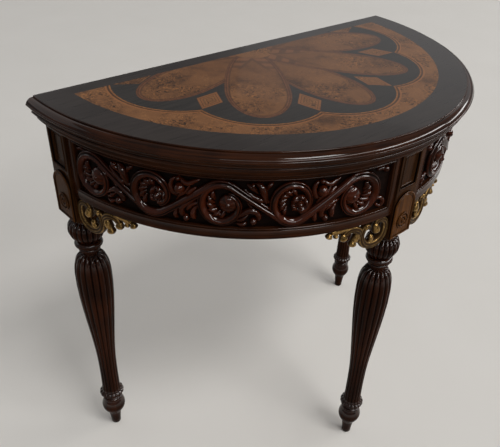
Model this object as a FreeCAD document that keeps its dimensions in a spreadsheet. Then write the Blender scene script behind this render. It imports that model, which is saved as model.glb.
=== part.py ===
"""Demilune table: half-round marquetry top on three reeded legs, with carved aprons and gilt brackets.

Millimetres, +Z up. The table stands on z = 0 with its straight back towards +Y. The origin is under the
middle of the table. The centre of the top's curve lies on the Y axis, nearer to the back.
"""
import FreeCAD, Part
import math
import os

import Sketcher
from FreeCAD import Placement, Rotation, Vector

doc = FreeCAD.newDocument("demilune_table")
sheet = doc.addObject("Spreadsheet::Sheet", "dim")

# Driving dimensions in millimetres.
DIMENSIONS = {
    # top
    "top_height": 795,
    "rim_radius": 430,
    "nose_reach": 11,
    "nose_drop": 12,
    "rim_step": 1.8,
    "back_set": 22,
    "back_overhang": 5,
    "top_thickness": 22,
    "veneer_thickness": 1.2,
    "lipping_width": 5,
    "lipping_foot": 4,
    # bed moulding under the top
    "bed_height": 23,
    "bed_land": 3,
    "bed_land_height": 2,
    "bed_ovolo": 5,
    "bed_fillet": 1.5,
    "bed_cove_width": 5.5,
    "bed_cove_height": 8.5,
    # aprons, their frames and the frieze recess
    "apron_height": 115,
    "frame_inset": 15,
    "frame_depth": 7,
    "core_thickness": 16,
    "stile_width": 16,
    "bottom_rail_height": 20,
    "top_rail_height": 10,
    "frame_bead": 3,
    # joints
    "tenon_length": 14,
    "tenon_thickness": 8,
    "tenon_shoulder": 15,
    "joint_clearance": 0.15,
    # inner frame
    "back_rail_thickness": 18,
    "back_rail_inset": 2,
    "bearer_width": 50,
    "glue_block_size": 26,
    "glue_block_shoulder": 12,
    "corner_block_size": 44,
    "screw_radius": 2.2,
    "screw_head_radius": 4.4,
    "screw_head_height": 2.6,
    "screw_bite": 13,
    # legs
    "block_width": 58,
    "block_proud": 2,
    "block_height": 181,
    "block_cant": 14,
    "panel_border": 9,
    "panel_height": 58,
    "panel_depth": 5,
    "neck_height": 3,
    "neck_radius": 21.5,
    "bulb_height": 43,
    "bulb_radius": 33,
    "collar_height": 33,
    "collar_radius": 26,
    "shaft_radius": 34,
    "foot_height": 118,
    "foot_radius": 24.5,
    "leg_core_radius": 11,
    # plaques and rosettes on the blocks
    "plaque_width": 56,
    "plaque_foot": 15,
    "plaque_side": 66,
    "plaque_rise": 22,
    "plaque_thickness": 3,
    "rosette_radius": 16,
    "rosette_height": 46,
    "rosette_thickness": 3.5,
    # carved scrolls
    "scroll_radius": 38,
    "stem_radius": 6,
    "stem_tip_radius": 3.4,
    "bud_radius": 8.5,
    "carving_lift": 2.5,
    "scroll_edge": 1,
    "scroll_pitch": 109,
    "frieze_gap": 15,
    # brackets
    "bracket_reach": 132,
    "bracket_stem": 6,
    "bracket_set": 1,
    # marquetry
    "border_width": 53,
    "strip_width": 30,
    "hub_radius": 40,
    "petal_margin": 64,
    "petal_band": 8,
    "stringing_width": 2.5,
    "lozenge_length": 76,
    "lozenge_width": 45,
    "lozenge_band": 6,
    # cutting tools run this far past what they cut
    "overrun": 5,
}

# Counts and angles.
REEDS = 16
GADROONS = 20
PETAL_PITCH = 37.4
RING_STEP = 30
SCREWS = 4
# Petals by their places from the middle one, those that lie over their neighbours first.
PETAL_ORDER = (-1, 1, -2, 0, 2)
# Lozenges stand between petals, at these counts of the petals' pitch.
LOZENGE_STEPS = (-1.5, -0.5, 0.5, 1.5)

for row, (alias, amount) in enumerate(DIMENSIONS.items(), start=1):
    sheet.set(f"A{row}", alias)
    sheet.set(f"B{row}", str(amount))
    sheet.setAlias(f"B{row}", alias)
doc.recompute()


class Size:
    """A length known both as a number and as an expression on the sheet's cells."""

    def __init__(self, number, text):
        self.number = number
        self.text = text

    def __add__(self, other):
        other = sized(other)
        return Size(self.number + other.number, f"({self.text} + {other.text})")

    def __sub__(self, other):
        other = sized(other)
        return Size(self.number - other.number, f"({self.text} - {other.text})")

    def __mul__(self, other):
        other = sized(other)
        return Size(self.number * other.number, f"({self.text} * {other.text})")

    def __truediv__(self, other):
        other = sized(other)
        return Size(self.number / other.number, f"({self.text} / {other.text})")

    def __radd__(self, other):
        return sized(other) + self

    def __rsub__(self, other):
        return sized(other) - self

    def __rmul__(self, other):
        return sized(other) * self

    def __neg__(self):
        return Size(-self.number, f"(0 - {self.text})")


def sized(value):
    """A plain number as a Size, a Size as it is."""
    return value if isinstance(value, Size) else Size(value, str(value))


def root(size):
    """Square root of a squared length."""
    return Size(math.sqrt(size.number), f"sqrt({size.text})")


def leg_of(hypotenuse, side):
    """The other side of a right triangle."""
    return root(hypotenuse * hypotenuse - side * side)


class Dimensions:
    """Each alias of the sheet as an attribute that gives its Size."""

    def __getattr__(self, alias):
        return Size(float(sheet.get(alias)), f"dim.{alias}")


d = Dimensions()

# Places that follow from the driving dimensions.
edge_radius = d.rim_radius + d.nose_reach
centre_y = (edge_radius - d.back_set) / 2
back_y = centre_y + d.back_set
board_radius = d.rim_radius - d.lipping_width
frame_radius = d.rim_radius - d.frame_inset
block_reach = frame_radius + d.block_proud
veneer_base = d.top_height - d.veneer_thickness
board_base = d.top_height - d.top_thickness
apron_top = board_base - d.bed_height
apron_base = apron_top - d.apron_height
ground_radius = frame_radius - d.frame_depth
apron_inner = ground_radius - d.core_thickness
block_half = d.block_width / 2
leg_circle = block_reach - block_half
block_base = apron_top - d.block_height
back_leg_y = back_y - d.back_overhang - block_half
side_joint_y = back_leg_y - block_half
block_inner = block_reach - d.block_width
rail_back_y = back_leg_y + block_half - d.back_rail_inset
rail_front_y = rail_back_y - d.back_rail_thickness
recess_base = apron_base + d.bottom_rail_height
recess_top = apron_top - d.top_rail_height
far = edge_radius + d.overrun

nodes = []


def bind(obj, sizes):
    """Binds each named property of an object to its Size."""
    for prop, size in sizes.items():
        obj.setExpression(prop, sized(size).text)


def node(obj, label):
    """Names an object as a sub-part to be written."""
    obj.Label = label
    nodes.append(obj)
    return obj


def place(obj, x, y, z):
    bind(obj, {"Placement.Base.x": x, "Placement.Base.y": y, "Placement.Base.z": z})


def box(name, x, y, z):
    """A box between two Sizes on each axis."""
    obj = doc.addObject("Part::Box", name)
    bind(obj, {"Length": x[1] - x[0], "Width": y[1] - y[0], "Height": z[1] - z[0]})
    place(obj, x[0], y[0], z[0])
    return obj


def cylinder(name, radius, low, high):
    """An upright cylinder between two heights, about the centre of the curve."""
    obj = doc.addObject("Part::Cylinder", name)
    bind(obj, {"Radius": radius, "Height": high - low})
    place(obj, sized(0), centre_y, low)
    return obj


def cut(name, base, tool):
    obj = doc.addObject("Part::Cut", name)
    obj.Base = base
    obj.Tool = tool
    return obj


def common(name, base, tool):
    obj = doc.addObject("Part::Common", name)
    obj.Base = base
    obj.Tool = tool
    return obj


def fuse(name, shapes):
    obj = doc.addObject("Part::MultiFuse", name)
    obj.Shapes = shapes
    obj.Refine = True
    return obj


def made(name, shape):
    """A sub-part or tool whose shape is worked out from the sheet in code."""
    obj = doc.addObject("Part::Feature", name)
    obj.Shape = shape
    return obj


def origin_plane(body, role):
    for feature in body.Origin.OriginFeatures:
        if feature.Role == role:
            return feature
    raise ValueError(role)


def outline(body, name, role, points):
    """A closed sketch on one of the body's origin planes.

    Each point is (across, up, bulge): the stretch that leaves it is straight where the bulge is 0, and
    otherwise an arc whose height is that share of its chord, outwards on a counter-clockwise outline.
    Every corner and radius is constrained to its Size.
    """
    sketch = body.newObject("Sketcher::SketchObject", name)
    sketch.AttachmentSupport = (origin_plane(body, role), [""])
    sketch.MapMode = "FlatFace"
    points = [(sized(across), sized(up), bulge) for across, up, bulge in points]
    ends = []
    radii = []
    for index, (across, up, bulge) in enumerate(points):
        next_across, next_up, _ = points[(index + 1) % len(points)]
        start = Vector(across.number, up.number, 0)
        end = Vector(next_across.number, next_up.number, 0)
        if bulge == 0:
            sketch.addGeometry(Part.LineSegment(start, end), False)
            ends.append((1, 2))
            radii.append(None)
            continue
        chord = end - start
        right = Vector(chord.y, -chord.x, 0)
        middle = (start + end) * 0.5 + right * bulge
        forward = bulge > 0
        arc = Part.Arc(start, middle, end) if forward else Part.Arc(end, middle, start)
        sketch.addGeometry(arc, False)
        ends.append((1, 2) if forward else (2, 1))
        run = next_across - across
        rise = next_up - up
        radii.append(root(run * run + rise * rise) * ((0.25 + bulge * bulge) / (2 * abs(bulge))))
    for index in range(len(points)):
        after = (index + 1) % len(points)
        sketch.addConstraint(Sketcher.Constraint("Coincident", index, ends[index][1], after, ends[after][0]))
    for index, (across, up, _) in enumerate(points):
        corner = ends[index][0]
        for size, kind, axis in ((across, "DistanceX", -2), (up, "DistanceY", -1)):
            if size.text == "0":
                sketch.addConstraint(Sketcher.Constraint("PointOnObject", index, corner, axis))
                continue
            datum = Sketcher.Constraint(kind, -1, 1, index, corner, size.number)
            sketch.setExpression(f"Constraints[{sketch.addConstraint(datum)}]", size.text)
        if radii[index] is not None:
            datum = Sketcher.Constraint("Radius", index, radii[index].number)
            sketch.setExpression(f"Constraints[{sketch.addConstraint(datum)}]", radii[index].text)
    return sketch


def turned(name, points):
    """A body turned about its own upright axis from an outline of (radius, height, bulge)."""
    body = doc.addObject("PartDesign::Body", name)
    sketch = outline(body, name + "_profile", "XZ_Plane", points)
    revolution = body.newObject("PartDesign::Revolution", name + "_turning")
    revolution.Profile = sketch
    revolution.ReferenceAxis = (sketch, ["V_Axis"])
    revolution.Angle = 360
    return body


def padded(name, role, points, length):
    """A body padded from an outline on one of its origin planes."""
    body = doc.addObject("PartDesign::Body", name)
    sketch = outline(body, name + "_outline", role, points)
    pad = body.newObject("PartDesign::Pad", name + "_pad")
    pad.Profile = sketch
    bind(pad, {"Length": length})
    return body


front_room = box("front_room", (-far, far), (-far, back_y), (sized(0), d.top_height + d.overrun))


def front_part(name, body):
    """What lies in front of the straight back edge."""
    return common(name, body, front_room)


# Top board, moulded lipping and bed moulding.

def build_top():
    round_board = cylinder("round_board", board_radius, board_base, veneer_base)
    board = front_part("board_blank", round_board)
    lipping = turned("lipping_ring", [
        (board_radius, board_base, 0),
        (d.rim_radius + d.lipping_foot, board_base, 0.2),
        (edge_radius, d.top_height - d.nose_drop, 0.2),
        (d.rim_radius, d.top_height - d.rim_step, 0),
        (d.rim_radius, d.top_height, 0),
        (board_radius, d.top_height, 0),
    ])
    place(lipping, sized(0), centre_y, sized(0))
    node(front_part("lipping_part", lipping), "top_edge_lipping")
    land = block_reach + d.bed_land
    ovolo = land + d.bed_ovolo
    fillet = ovolo + d.bed_fillet
    fascia = fillet + d.bed_cove_width + d.bed_fillet
    ovolo_base = apron_top + d.bed_land_height
    ovolo_top = ovolo_base + d.bed_ovolo
    cove_base = ovolo_top + d.bed_fillet
    cove_top = cove_base + d.bed_cove_height
    bed = turned("bed_ring", [
        (apron_inner, apron_top, 0),
        (land, apron_top, 0),
        (land, ovolo_base, 0.2),
        (ovolo, ovolo_top, 0),
        (fillet, ovolo_top, 0),
        (fillet, cove_base, -0.2),
        (fillet + d.bed_cove_width, cove_top, 0),
        (fascia, cove_top, 0),
        (fascia, board_base, 0),
        (apron_inner, board_base, 0),
    ])
    place(bed, sized(0), centre_y, sized(0))
    node(front_part("bed_part", bed), "bed_moulding")
    return board


# Joints: each tenon is a box, and its mortise is the same box with a clearance all round.

tenon_base = apron_base + d.tenon_shoulder
tenon_top = apron_top - d.tenon_shoulder
tenon_half = d.tenon_thickness / 2
joint_radius = (ground_radius + apron_inner) / 2


def grown(span, amount):
    return (span[0] - amount, span[1] + amount)


def joint_boxes(name, x, y, z):
    """The box of a tenon and the box of its mortise."""
    tenon = box(name + "_tenon", x, y, z)
    gap = d.joint_clearance
    mortise = box(name + "_mortise", grown(x, gap), grown(y, gap), grown(z, gap))
    return tenon, mortise


def ordered(side, near, away):
    """A span across X from its distances to the middle plane, on the given side."""
    return (near, away) if side > 0 else (-away, -near)


def apron_joints(name, side):
    """Tenons at the front block and at the back leg's block."""
    height = (tenon_base, tenon_top)
    front_y = centre_y - leg_of(joint_radius, block_half)
    front = joint_boxes(
        name + "_front",
        ordered(side, block_half - d.tenon_length, block_half + d.tenon_length),
        (front_y - tenon_half, front_y + tenon_half),
        height,
    )
    back_x = leg_of(joint_radius, centre_y - side_joint_y)
    back = joint_boxes(
        name + "_back",
        ordered(side, back_x - tenon_half, back_x + tenon_half),
        (side_joint_y - d.tenon_length, side_joint_y + d.tenon_length),
        height,
    )
    return front, back


def build_apron(side, name):
    """Curved core with its tenons, and the applied frame round the frieze recess."""
    room = box(
        name + "_room",
        ordered(side, block_half, far),
        (-far, side_joint_y),
        (apron_base, apron_top),
    )
    outer = cylinder(name + "_ground", ground_radius, apron_base, apron_top)
    inner = cylinder(name + "_hollow", apron_inner, apron_base - d.overrun, apron_top + d.overrun)
    core = common(name + "_core", cut(name + "_ring", outer, inner), room)
    front, back = apron_joints(name, side)
    node(fuse(name + "_joined", [core, front[0], back[0]]), name)

    face = cylinder(name + "_face", frame_radius, apron_base, apron_top)
    ground = cylinder(name + "_seat", ground_radius, apron_base - d.overrun, apron_top + d.overrun)
    blank = common(name + "_frame_blank", cut(name + "_frame_ring", face, ground), room)
    recess = box(
        name + "_recess",
        ordered(side, block_half + d.stile_width, far),
        (-far, side_joint_y - d.stile_width),
        (recess_base, recess_top),
    )
    opened = cut(name + "_frame_opened", blank, recess)
    bead_room = box(
        name + "_bead_room",
        ordered(side, block_half + d.stile_width - d.frame_bead, far),
        (-far, side_joint_y - d.stile_width + d.frame_bead),
        (recess_base - d.frame_bead, recess_top + d.frame_bead),
    )
    bead_seat = cylinder(name + "_bead_seat", frame_radius - d.frame_bead, apron_base, apron_top)
    bead = cut(name + "_bead", bead_room, bead_seat)
    node(cut(name + "_frame_stepped", opened, bead), name.replace("apron", "frieze_frame"))
    return front[1], back[1]


def build_back_rail():
    """Straight rail between the back legs and over their blocks, with a stub mortise for the bearer."""
    y = (rail_front_y, rail_back_y)
    mid_y = rail_front_y + d.back_rail_thickness / 2
    rail = box("rail_blank", (-block_inner, block_inner), y, (apron_base, board_base))
    over = leg_of(apron_inner, d.back_set) - d.joint_clearance
    shelf = box("rail_shelf", (-over, over), y, (apron_top, board_base))
    tongue_y = (mid_y - tenon_half, mid_y + tenon_half)
    mortises = []
    tongues = []
    for side, name in ((-1, "rail_left"), (1, "rail_right")):
        across = ordered(side, block_inner - d.tenon_length, block_inner + d.tenon_length)
        tongue, mortise = joint_boxes(name, across, tongue_y, (tenon_base, tenon_top))
        tongues.append(tongue)
        mortises.append(mortise)
    stub, socket = joint_boxes(
        "bearer",
        (-d.bearer_width / 4, d.bearer_width / 4),
        (rail_front_y - d.tenon_thickness, rail_front_y + d.tenon_thickness),
        (apron_top + tenon_half, board_base - tenon_half),
    )
    node(cut("rail_mortised", fuse("rail_joined", [rail, shelf] + tongues), socket), "back_rail")
    return mortises, stub


def screw_shape(grow):
    """A countersunk screw that points up, its head at the origin, with its sides grown by a clearance."""
    shank = d.screw_radius.number + grow
    head = d.screw_head_radius.number + grow
    head_height = d.screw_head_height.number
    length = d.bed_height.number + d.screw_bite.number
    profile = Part.makePolygon([
        Vector(0, 0, 0),
        Vector(head, 0, 0),
        Vector(shank, 0, head_height),
        Vector(shank, 0, length),
        Vector(0, 0, length),
        Vector(0, 0, 0),
    ])
    return Part.Face(profile).revolve(Vector(0, 0, 0), Vector(0, 0, 1), 360)


def build_bearer_and_screws(stub, board):
    """Bearer on the front block and in the back rail, and the screws through it into the top board."""
    front_y = centre_y - apron_inner + d.joint_clearance
    bearer = fuse("bearer_joined", [
        box(
            "bearer_blank",
            (-d.bearer_width / 2, d.bearer_width / 2),
            (front_y, rail_front_y),
            (apron_top, board_base),
        ),
        stub,
    ])
    start = front_y.number + d.block_width.number
    step = (rail_front_y.number - start) / SCREWS
    screws = []
    holes = []
    for index in range(SCREWS):
        at = Vector(0, start + step * (index + 0.5), apron_top.number)
        screw = screw_shape(0)
        screw.translate(at)
        screws.append(screw)
        hole = screw_shape(d.joint_clearance.number)
        hole.translate(at)
        holes.append(hole)
    node(cut("bearer_bored", bearer, made("bearer_holes", Part.makeCompound(holes))), "centre_bearer")
    node(cut("board_bored", board, made("board_holes", Part.makeCompound(screws))), "top_board")
    node(made("screws", Part.makeCompound(screws)), "top_screws")


def build_glue_blocks():
    """Blocks glued into the corners between aprons, blocks and back rail."""
    size = d.glue_block_size
    low = apron_base + d.glue_block_shoulder
    high = apron_top - d.glue_block_shoulder
    hollow = cylinder("glue_hollow", apron_inner, apron_base, apron_top)
    for side, hand in ((-1, "left"), (1, "right")):
        front_y = centre_y - block_reach + d.block_width
        wedge = padded(f"{hand}_front_wedge", "XY_Plane", [
            (side * block_half, front_y - apron_inner, 0),
            (side * (block_half + size), front_y - apron_inner, 0),
            (side * (block_half + size), front_y - size, 0),
            (side * block_half, front_y, 0),
        ], high - low)
        place(wedge, sized(0), sized(0), low)
        node(common(f"{hand}_front_block", wedge, hollow), f"{hand}_front_glue_block")
        wedge = padded(f"{hand}_back_wedge", "XY_Plane", [
            (side * block_inner, side_joint_y, 0),
            (side * far, side_joint_y, 0),
            (side * far, side_joint_y - size, 0),
            (side * (block_inner + size), side_joint_y - size, 0),
        ], high - low)
        place(wedge, sized(0), sized(0), low)
        node(common(f"{hand}_back_block", wedge, hollow), f"{hand}_back_glue_block")
        corner = padded(f"{hand}_rail_wedge", "XY_Plane", [
            (side * block_inner, rail_front_y, 0),
            (side * (block_inner - d.corner_block_size), rail_front_y, 0),
            (side * block_inner, rail_front_y - d.corner_block_size, 0),
        ], high - low)
        place(corner, sized(0), sized(0), low)
        node(corner, f"{hand}_corner_block")


# Legs: one post each, turned below the square block, with gadroons and reeds worked on the turning.

# Height and radius of the reeded shaft as shares of its length and of its greatest radius.
SHAFT_SHARES = (
    (0.0, 0.55), (0.14, 0.535), (0.27, 0.56), (0.39, 0.645), (0.51, 0.765), (0.63, 0.885), (0.74, 0.97),
    (0.84, 1.0), (0.91, 0.975), (0.955, 0.89), (0.985, 0.75), (1.0, 0.6),
)
REED_DEPTH_SHARE = 0.11
# The same for the gadrooned bulb.
BULB_SHARES = ((0.0, 0.6), (0.1, 0.75), (0.25, 0.885), (0.42, 0.97), (0.58, 1.0), (0.76, 0.97), (1.0, 0.74))
GADROON_DEPTH_SHARE = 0.085
# Radius and height of the foot's turning as shares of its radius and height, with each stretch's bulge.
FOOT_SHARES = (
    (0.38, 0.0, 0), (0.43, 0.025, 0), (0.51, 0.33, 0), (0.51, 0.38, 0.229), (0.78, 0.69, 0), (0.72, 0.715, 0),
    (0.73, 0.725, 0.45), (0.73, 0.775, 0), (0.68, 0.785, 0), (0.68, 0.835, 0), (0.74, 0.86, 0.45),
    (0.74, 1.0, 0),
)
# The same for the collar between shaft and bulb.
COLLAR_SHARES = (
    (0.54, 0.0, 0), (0.56, 0.22, 0), (0.62, 0.24, 0.45), (0.62, 0.5, 0), (0.74, 0.54, 0.47), (0.74, 0.96, 0),
    (0.66, 1.0, 0),
)

collar_top = block_base - d.neck_height - d.bulb_height
shaft_top = collar_top - d.collar_height


def lobed_ring(radius, depth_share, count, height):
    """A closed ring of equal convex arcs that meet in sharp hollows."""
    half = math.pi / count
    arcs = []
    for index in range(count):
        middle = 2 * math.pi * index / count
        corners = []
        for angle, reach in ((middle - half, 1 - depth_share), (middle, 1), (middle + half, 1 - depth_share)):
            corners.append(Vector(radius * reach * math.cos(angle), radius * reach * math.sin(angle), height))
        arcs.append(Part.Arc(*corners).toShape())
    return Part.Wire(arcs)


def lobed_loft(shares, base, height, radius, depth_share, count):
    rings = []
    for up, out in shares:
        rings.append(lobed_ring(radius.number * out, depth_share, count, base.number + height.number * up))
    return Part.makeLoft(rings, True, True)


def stack(shares, base, height, radius):
    """Profile points from shares of a radius and a height."""
    return [(radius * out, base + height * up, bulge) for out, up, bulge in shares]


def build_leg_blank():
    """The leg about its own axis, its carved face to -Y."""
    core = d.leg_core_radius
    bulb_base = collar_top
    bulb_top = bulb_base + d.bulb_height
    profile = [(sized(0), sized(0), 0)]
    profile += stack(FOOT_SHARES, sized(0), d.foot_height, d.foot_radius)
    profile += [(core, d.foot_height, 0), (core, shaft_top, 0)]
    profile += stack(COLLAR_SHARES, shaft_top, d.collar_height, d.collar_radius)
    profile += [(core, bulb_base, 0), (core, bulb_top, 0)]
    profile += [(d.neck_radius, bulb_top, 0), (d.neck_radius, block_base, 0), (sized(0), block_base, 0)]
    turning = turned("leg_turning", profile)
    shaft_length = shaft_top - d.foot_height
    reeds = lobed_loft(SHAFT_SHARES, d.foot_height, shaft_length, d.shaft_radius, REED_DEPTH_SHARE, REEDS)
    bulb = lobed_loft(BULB_SHARES, bulb_base, d.bulb_height, d.bulb_radius, GADROON_DEPTH_SHARE, GADROONS)

    block = padded("leg_block", "XY_Plane", [
        (-block_half, -block_half, 0),
        (block_half, -block_half, 0),
        (block_half, block_half, 0),
        (-block_half, block_half, 0),
    ], d.block_height)
    place(block, sized(0), sized(0), block_base)
    doc.recompute()
    pad = block.Tip
    low_edges = []
    for index, edge in enumerate(pad.Shape.Edges, start=1):
        if edge.BoundBox.ZMax < d.block_cant.number:
            low_edges.append(f"Edge{index}")
    cant = block.newObject("PartDesign::Chamfer", "block_cant_cut")
    cant.Base = (pad, low_edges)
    bind(cant, {"Size": d.block_cant})
    doc.recompute()
    return fuse("leg_blank", [turning, made("leg_reeds", reeds), made("leg_gadroons", bulb), block])


def leg_placement(turn, x, y):
    return Placement(Vector(x.number, y.number, 0), Rotation(Vector(0, 0, 1), turn))


LEGS = (
    ("left", -90, -leg_circle, back_leg_y),
    ("front", 0, sized(0), centre_y - leg_circle),
    ("right", 90, leg_circle, back_leg_y),
)


def build_legs(blank, mortises):
    """Three legs from the same blank, each with a sunken panel and its own mortises, plaque and rosette."""
    panel = block_half - d.panel_border
    panel_top = apron_top - d.panel_border
    sunk = box(
        "panel_tool",
        (-panel, panel),
        (-block_half - d.overrun, d.panel_depth - block_half),
        (panel_top - d.panel_height, panel_top),
    )
    panelled = cut("leg_panelled", blank, sunk)
    plaque = build_plaque()
    rosette = build_rosette()
    doc.recompute()
    for hand, turn, x, y in LEGS:
        post = made(f"{hand}_leg_post", panelled.Shape.copy())
        post.Placement = leg_placement(turn, x, y)
        sockets = fuse(f"{hand}_leg_sockets", mortises[hand])
        node(cut(f"{hand}_leg_mortised", post, sockets), f"{hand}_leg")
        for piece, title in ((plaque, "plaque"), (rosette, "rosette")):
            copy = made(f"{hand}_{title}", piece.Shape.copy())
            copy.Placement = leg_placement(turn, x, y).multiply(piece.Placement)
            node(copy, f"{hand}_leg_{title}")


def build_plaque():
    """Arched plaque on the carved face of a block, over the rosette."""
    half = d.plaque_width / 2
    body = padded("plaque_blank", "XZ_Plane", [
        (-half, sized(0), 0),
        (half, sized(0), 0),
        (half, d.plaque_side, d.plaque_rise.number / d.plaque_width.number),
        (-half, d.plaque_side, 0),
    ], d.plaque_thickness)
    place(body, sized(0), -block_half, block_base + d.plaque_foot)
    return body


# Radius and height of a rosette's turning as shares of its radius and thickness, with each stretch's bulge.
ROSETTE_SHARES = (
    (1.0, 0.5, 0.4), (0.78, 0.5, 0), (0.74, 0.3, -0.12), (0.36, 0.5, 0.2), (0.14, 1.0, 0),
)


def build_rosette():
    """Turned roundel with a rim, a hollow and a centre button, on the plaque."""
    profile = [(sized(0), sized(0), 0), (d.rosette_radius, sized(0), 0)]
    profile += stack(ROSETTE_SHARES, sized(0), d.rosette_thickness, d.rosette_radius)
    profile += [(sized(0), d.rosette_thickness, 0)]
    body = turned("rosette_blank", profile)
    body.Placement.Rotation = Rotation(Vector(1, 0, 0), 90)
    place(body, sized(0), -block_half - d.plaque_thickness, block_base + d.rosette_height)
    return body


# Carving: tapered stems along bends in a plane that touches the curve, with balls for buds.

def walk(start, heading, bends):
    """Points and headings along a run of bends.

    Each bend is (turn, size): a left turn in degrees on that radius, or a straight run where the turn is 0.
    """
    at = Vector(*start, 0)
    angle = math.radians(heading)
    stops = [(at, angle)]
    for turn, size in bends:
        if turn == 0:
            at = at + Vector(math.cos(angle), math.sin(angle), 0) * size
            stops.append((at, angle))
            continue
        hand = math.copysign(1, turn)
        steps = max(1, math.ceil(abs(turn) / RING_STEP))
        for _ in range(steps):
            after = angle + math.radians(turn / steps)
            side = Vector(math.sin(after) - math.sin(angle), math.cos(angle) - math.cos(after), 0)
            at = at + side * (size * hand)
            angle = after
            stops.append((at, angle))
    return stops


def horn(start, heading, bends, first, last):
    """A round stem that tapers evenly along its bends."""
    stops = walk(start, heading, bends)
    rings = []
    for index, (at, angle) in enumerate(stops):
        radius = first + (last - first) * index / (len(stops) - 1)
        along = Vector(math.cos(angle), math.sin(angle), 0)
        rings.append(Part.Wire(Part.Circle(at, along, radius).toShape()))
    return Part.makeLoft(rings, True, True)


def ball(x, y, radius):
    """A ball whose poles stand above and below and whose seam lies at its back."""
    middle = Vector(x, y, 0)
    shape = Part.makeSphere(radius, middle)
    shape.rotate(middle, Vector(1, 0, 0), 90)
    shape.rotate(middle, Vector(0, 1, 0), 90)
    return shape


def flipped(shape, across, up):
    """A carving turned over left to right or top to bottom."""
    if across < 0:
        shape = shape.mirror(Vector(0, 0, 0), Vector(1, 0, 0))
    if up < 0:
        shape = shape.mirror(Vector(0, 0, 0), Vector(0, 1, 0))
    return shape


def on_curve(angle, radius, height):
    """Placement of a carving plane: X along the curve to the viewer's right, Y up, Z outwards."""
    turn = math.radians(angle)
    along = Vector(math.cos(turn), math.sin(turn), 0)
    out = Vector(math.sin(turn), -math.cos(turn), 0)
    base = out * radius + Vector(0, centre_y.number, height)
    return Placement(base, Rotation(along, Vector(0, 0, 1), out, "XYZ"))


# Radii of a scroll's half turns as shares of its first, outermost one.
TURN_SHARES = (1.0, 0.74, 0.5, 0.29)
# A leaf's bend radius as a share of the scroll's, its stem of the link's stem, its bud of a scroll's bud.
LEAF_BEND_SHARE = 1.0
LEAF_STEM_SHARE = 0.75
LEAF_BUD_SHARE = 0.75
# A leaf's first heading and its turn in degrees.
LEAF_HEADING = 80
LEAF_TURN = 40


def scroll(entry):
    """A volute that enters at its upper right, goes over the top and winds in to a bud."""
    size = d.scroll_radius.number
    turns = [(180 - entry, size)]
    turns += [(180, size * share) for share in TURN_SHARES[1:]]
    lean = math.radians(entry)
    start = (size * math.cos(lean), size * math.sin(lean))
    stem = horn(start, 90 + entry, turns, d.stem_radius.number, d.stem_tip_radius.number)
    eye = size * (1 - 2 * TURN_SHARES[1] + 2 * TURN_SHARES[2] - TURN_SHARES[3])
    return [stem, ball(-eye, 0, d.bud_radius.number)]


def link(entry, spacing, drop):
    """The slanting stem from a scroll on the right, over its top, to the foot of the scroll on its left.

    It lies along the line that touches both scrolls, and bends round each of them at its ends.
    """
    size = d.scroll_radius.number
    thick = d.stem_radius.number
    lean = math.radians(entry)
    touch = Vector(spacing / 2 - size * math.cos(lean), size * math.sin(lean) - drop, 0)
    heading = 270 - entry
    rise = math.radians(entry + RING_STEP)
    start = Vector(spacing / 2 - size * math.cos(rise), size * math.sin(rise) - drop, 0)
    bends = [(RING_STEP, size), (0, 2 * touch.Length), (-RING_STEP, size)]
    shapes = [horn((start.x, start.y), heading - RING_STEP, bends, thick, thick)]
    for facing in (LEAF_HEADING, LEAF_HEADING + 180):
        bends = [(LEAF_TURN, size * LEAF_BEND_SHARE)]
        shapes.append(horn((0, 0), facing, bends, thick * LEAF_STEM_SHARE, d.stem_tip_radius.number))
        tip = walk((0, 0), facing, bends)[-1][0]
        shapes.append(ball(tip.x, tip.y, d.bud_radius.number * LEAF_BUD_SHARE))
    return shapes


def build_frieze(side, name):
    """Running scroll on the ground of one apron, made for the left side and mirrored for the right."""
    back_offset = (centre_y - side_joint_y + d.stile_width).number
    front_offset = (block_half + d.stile_width).number
    first = -90 + math.degrees(math.asin(back_offset / ground_radius.number))
    last = -math.degrees(math.asin(front_offset / ground_radius.number))
    end_room = (d.scroll_radius + d.stem_radius + d.scroll_edge).number
    length = math.radians(last - first) * ground_radius.number
    run = length - 2 * end_room - d.frieze_gap.number
    gaps = max(1, round(run / d.scroll_pitch.number))
    spacing = run / gaps
    pitch = math.degrees(spacing / ground_radius.number)
    opening = first + math.degrees(end_room / ground_radius.number)
    lift = ground_radius.number + d.carving_lift.number
    middle = (recess_base.number + recess_top.number) / 2
    half_height = middle - recess_base.number
    size = d.scroll_radius.number
    drop = size + d.stem_radius.number + d.scroll_edge.number - half_height
    between = math.hypot(spacing, 2 * drop)
    entry = 90 - math.degrees(math.asin(2 * size / between) - math.atan2(2 * drop, spacing))
    pieces = []
    for index in range(gaps + 1):
        crest = 1 if index % 2 == 0 else -1
        hand = -1 if index == gaps else 1
        spot = on_curve(opening + pitch * index, lift, middle - crest * drop)
        pieces += [placed(flipped(shape, hand, crest), spot) for shape in scroll(entry)]
        if index < gaps:
            spot = on_curve(opening + pitch * (index + 0.5), lift, middle)
            pieces += [placed(flipped(shape, 1, -crest), spot) for shape in link(entry, spacing, drop)]
    carving = pieces[0].multiFuse(pieces[1:])
    seat = Part.makeCylinder(ground_radius.number, d.top_height.number, Vector(0, centre_y.number, 0))
    carving = carving.cut(seat)
    if side > 0:
        carving = carving.mirror(Vector(0, 0, 0), Vector(1, 0, 0))
    node(made(name + "_carved", carving), name)


def placed(shape, placement):
    shape = shape.copy()
    shape.Placement = placement.multiply(shape.Placement)
    return shape


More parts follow.
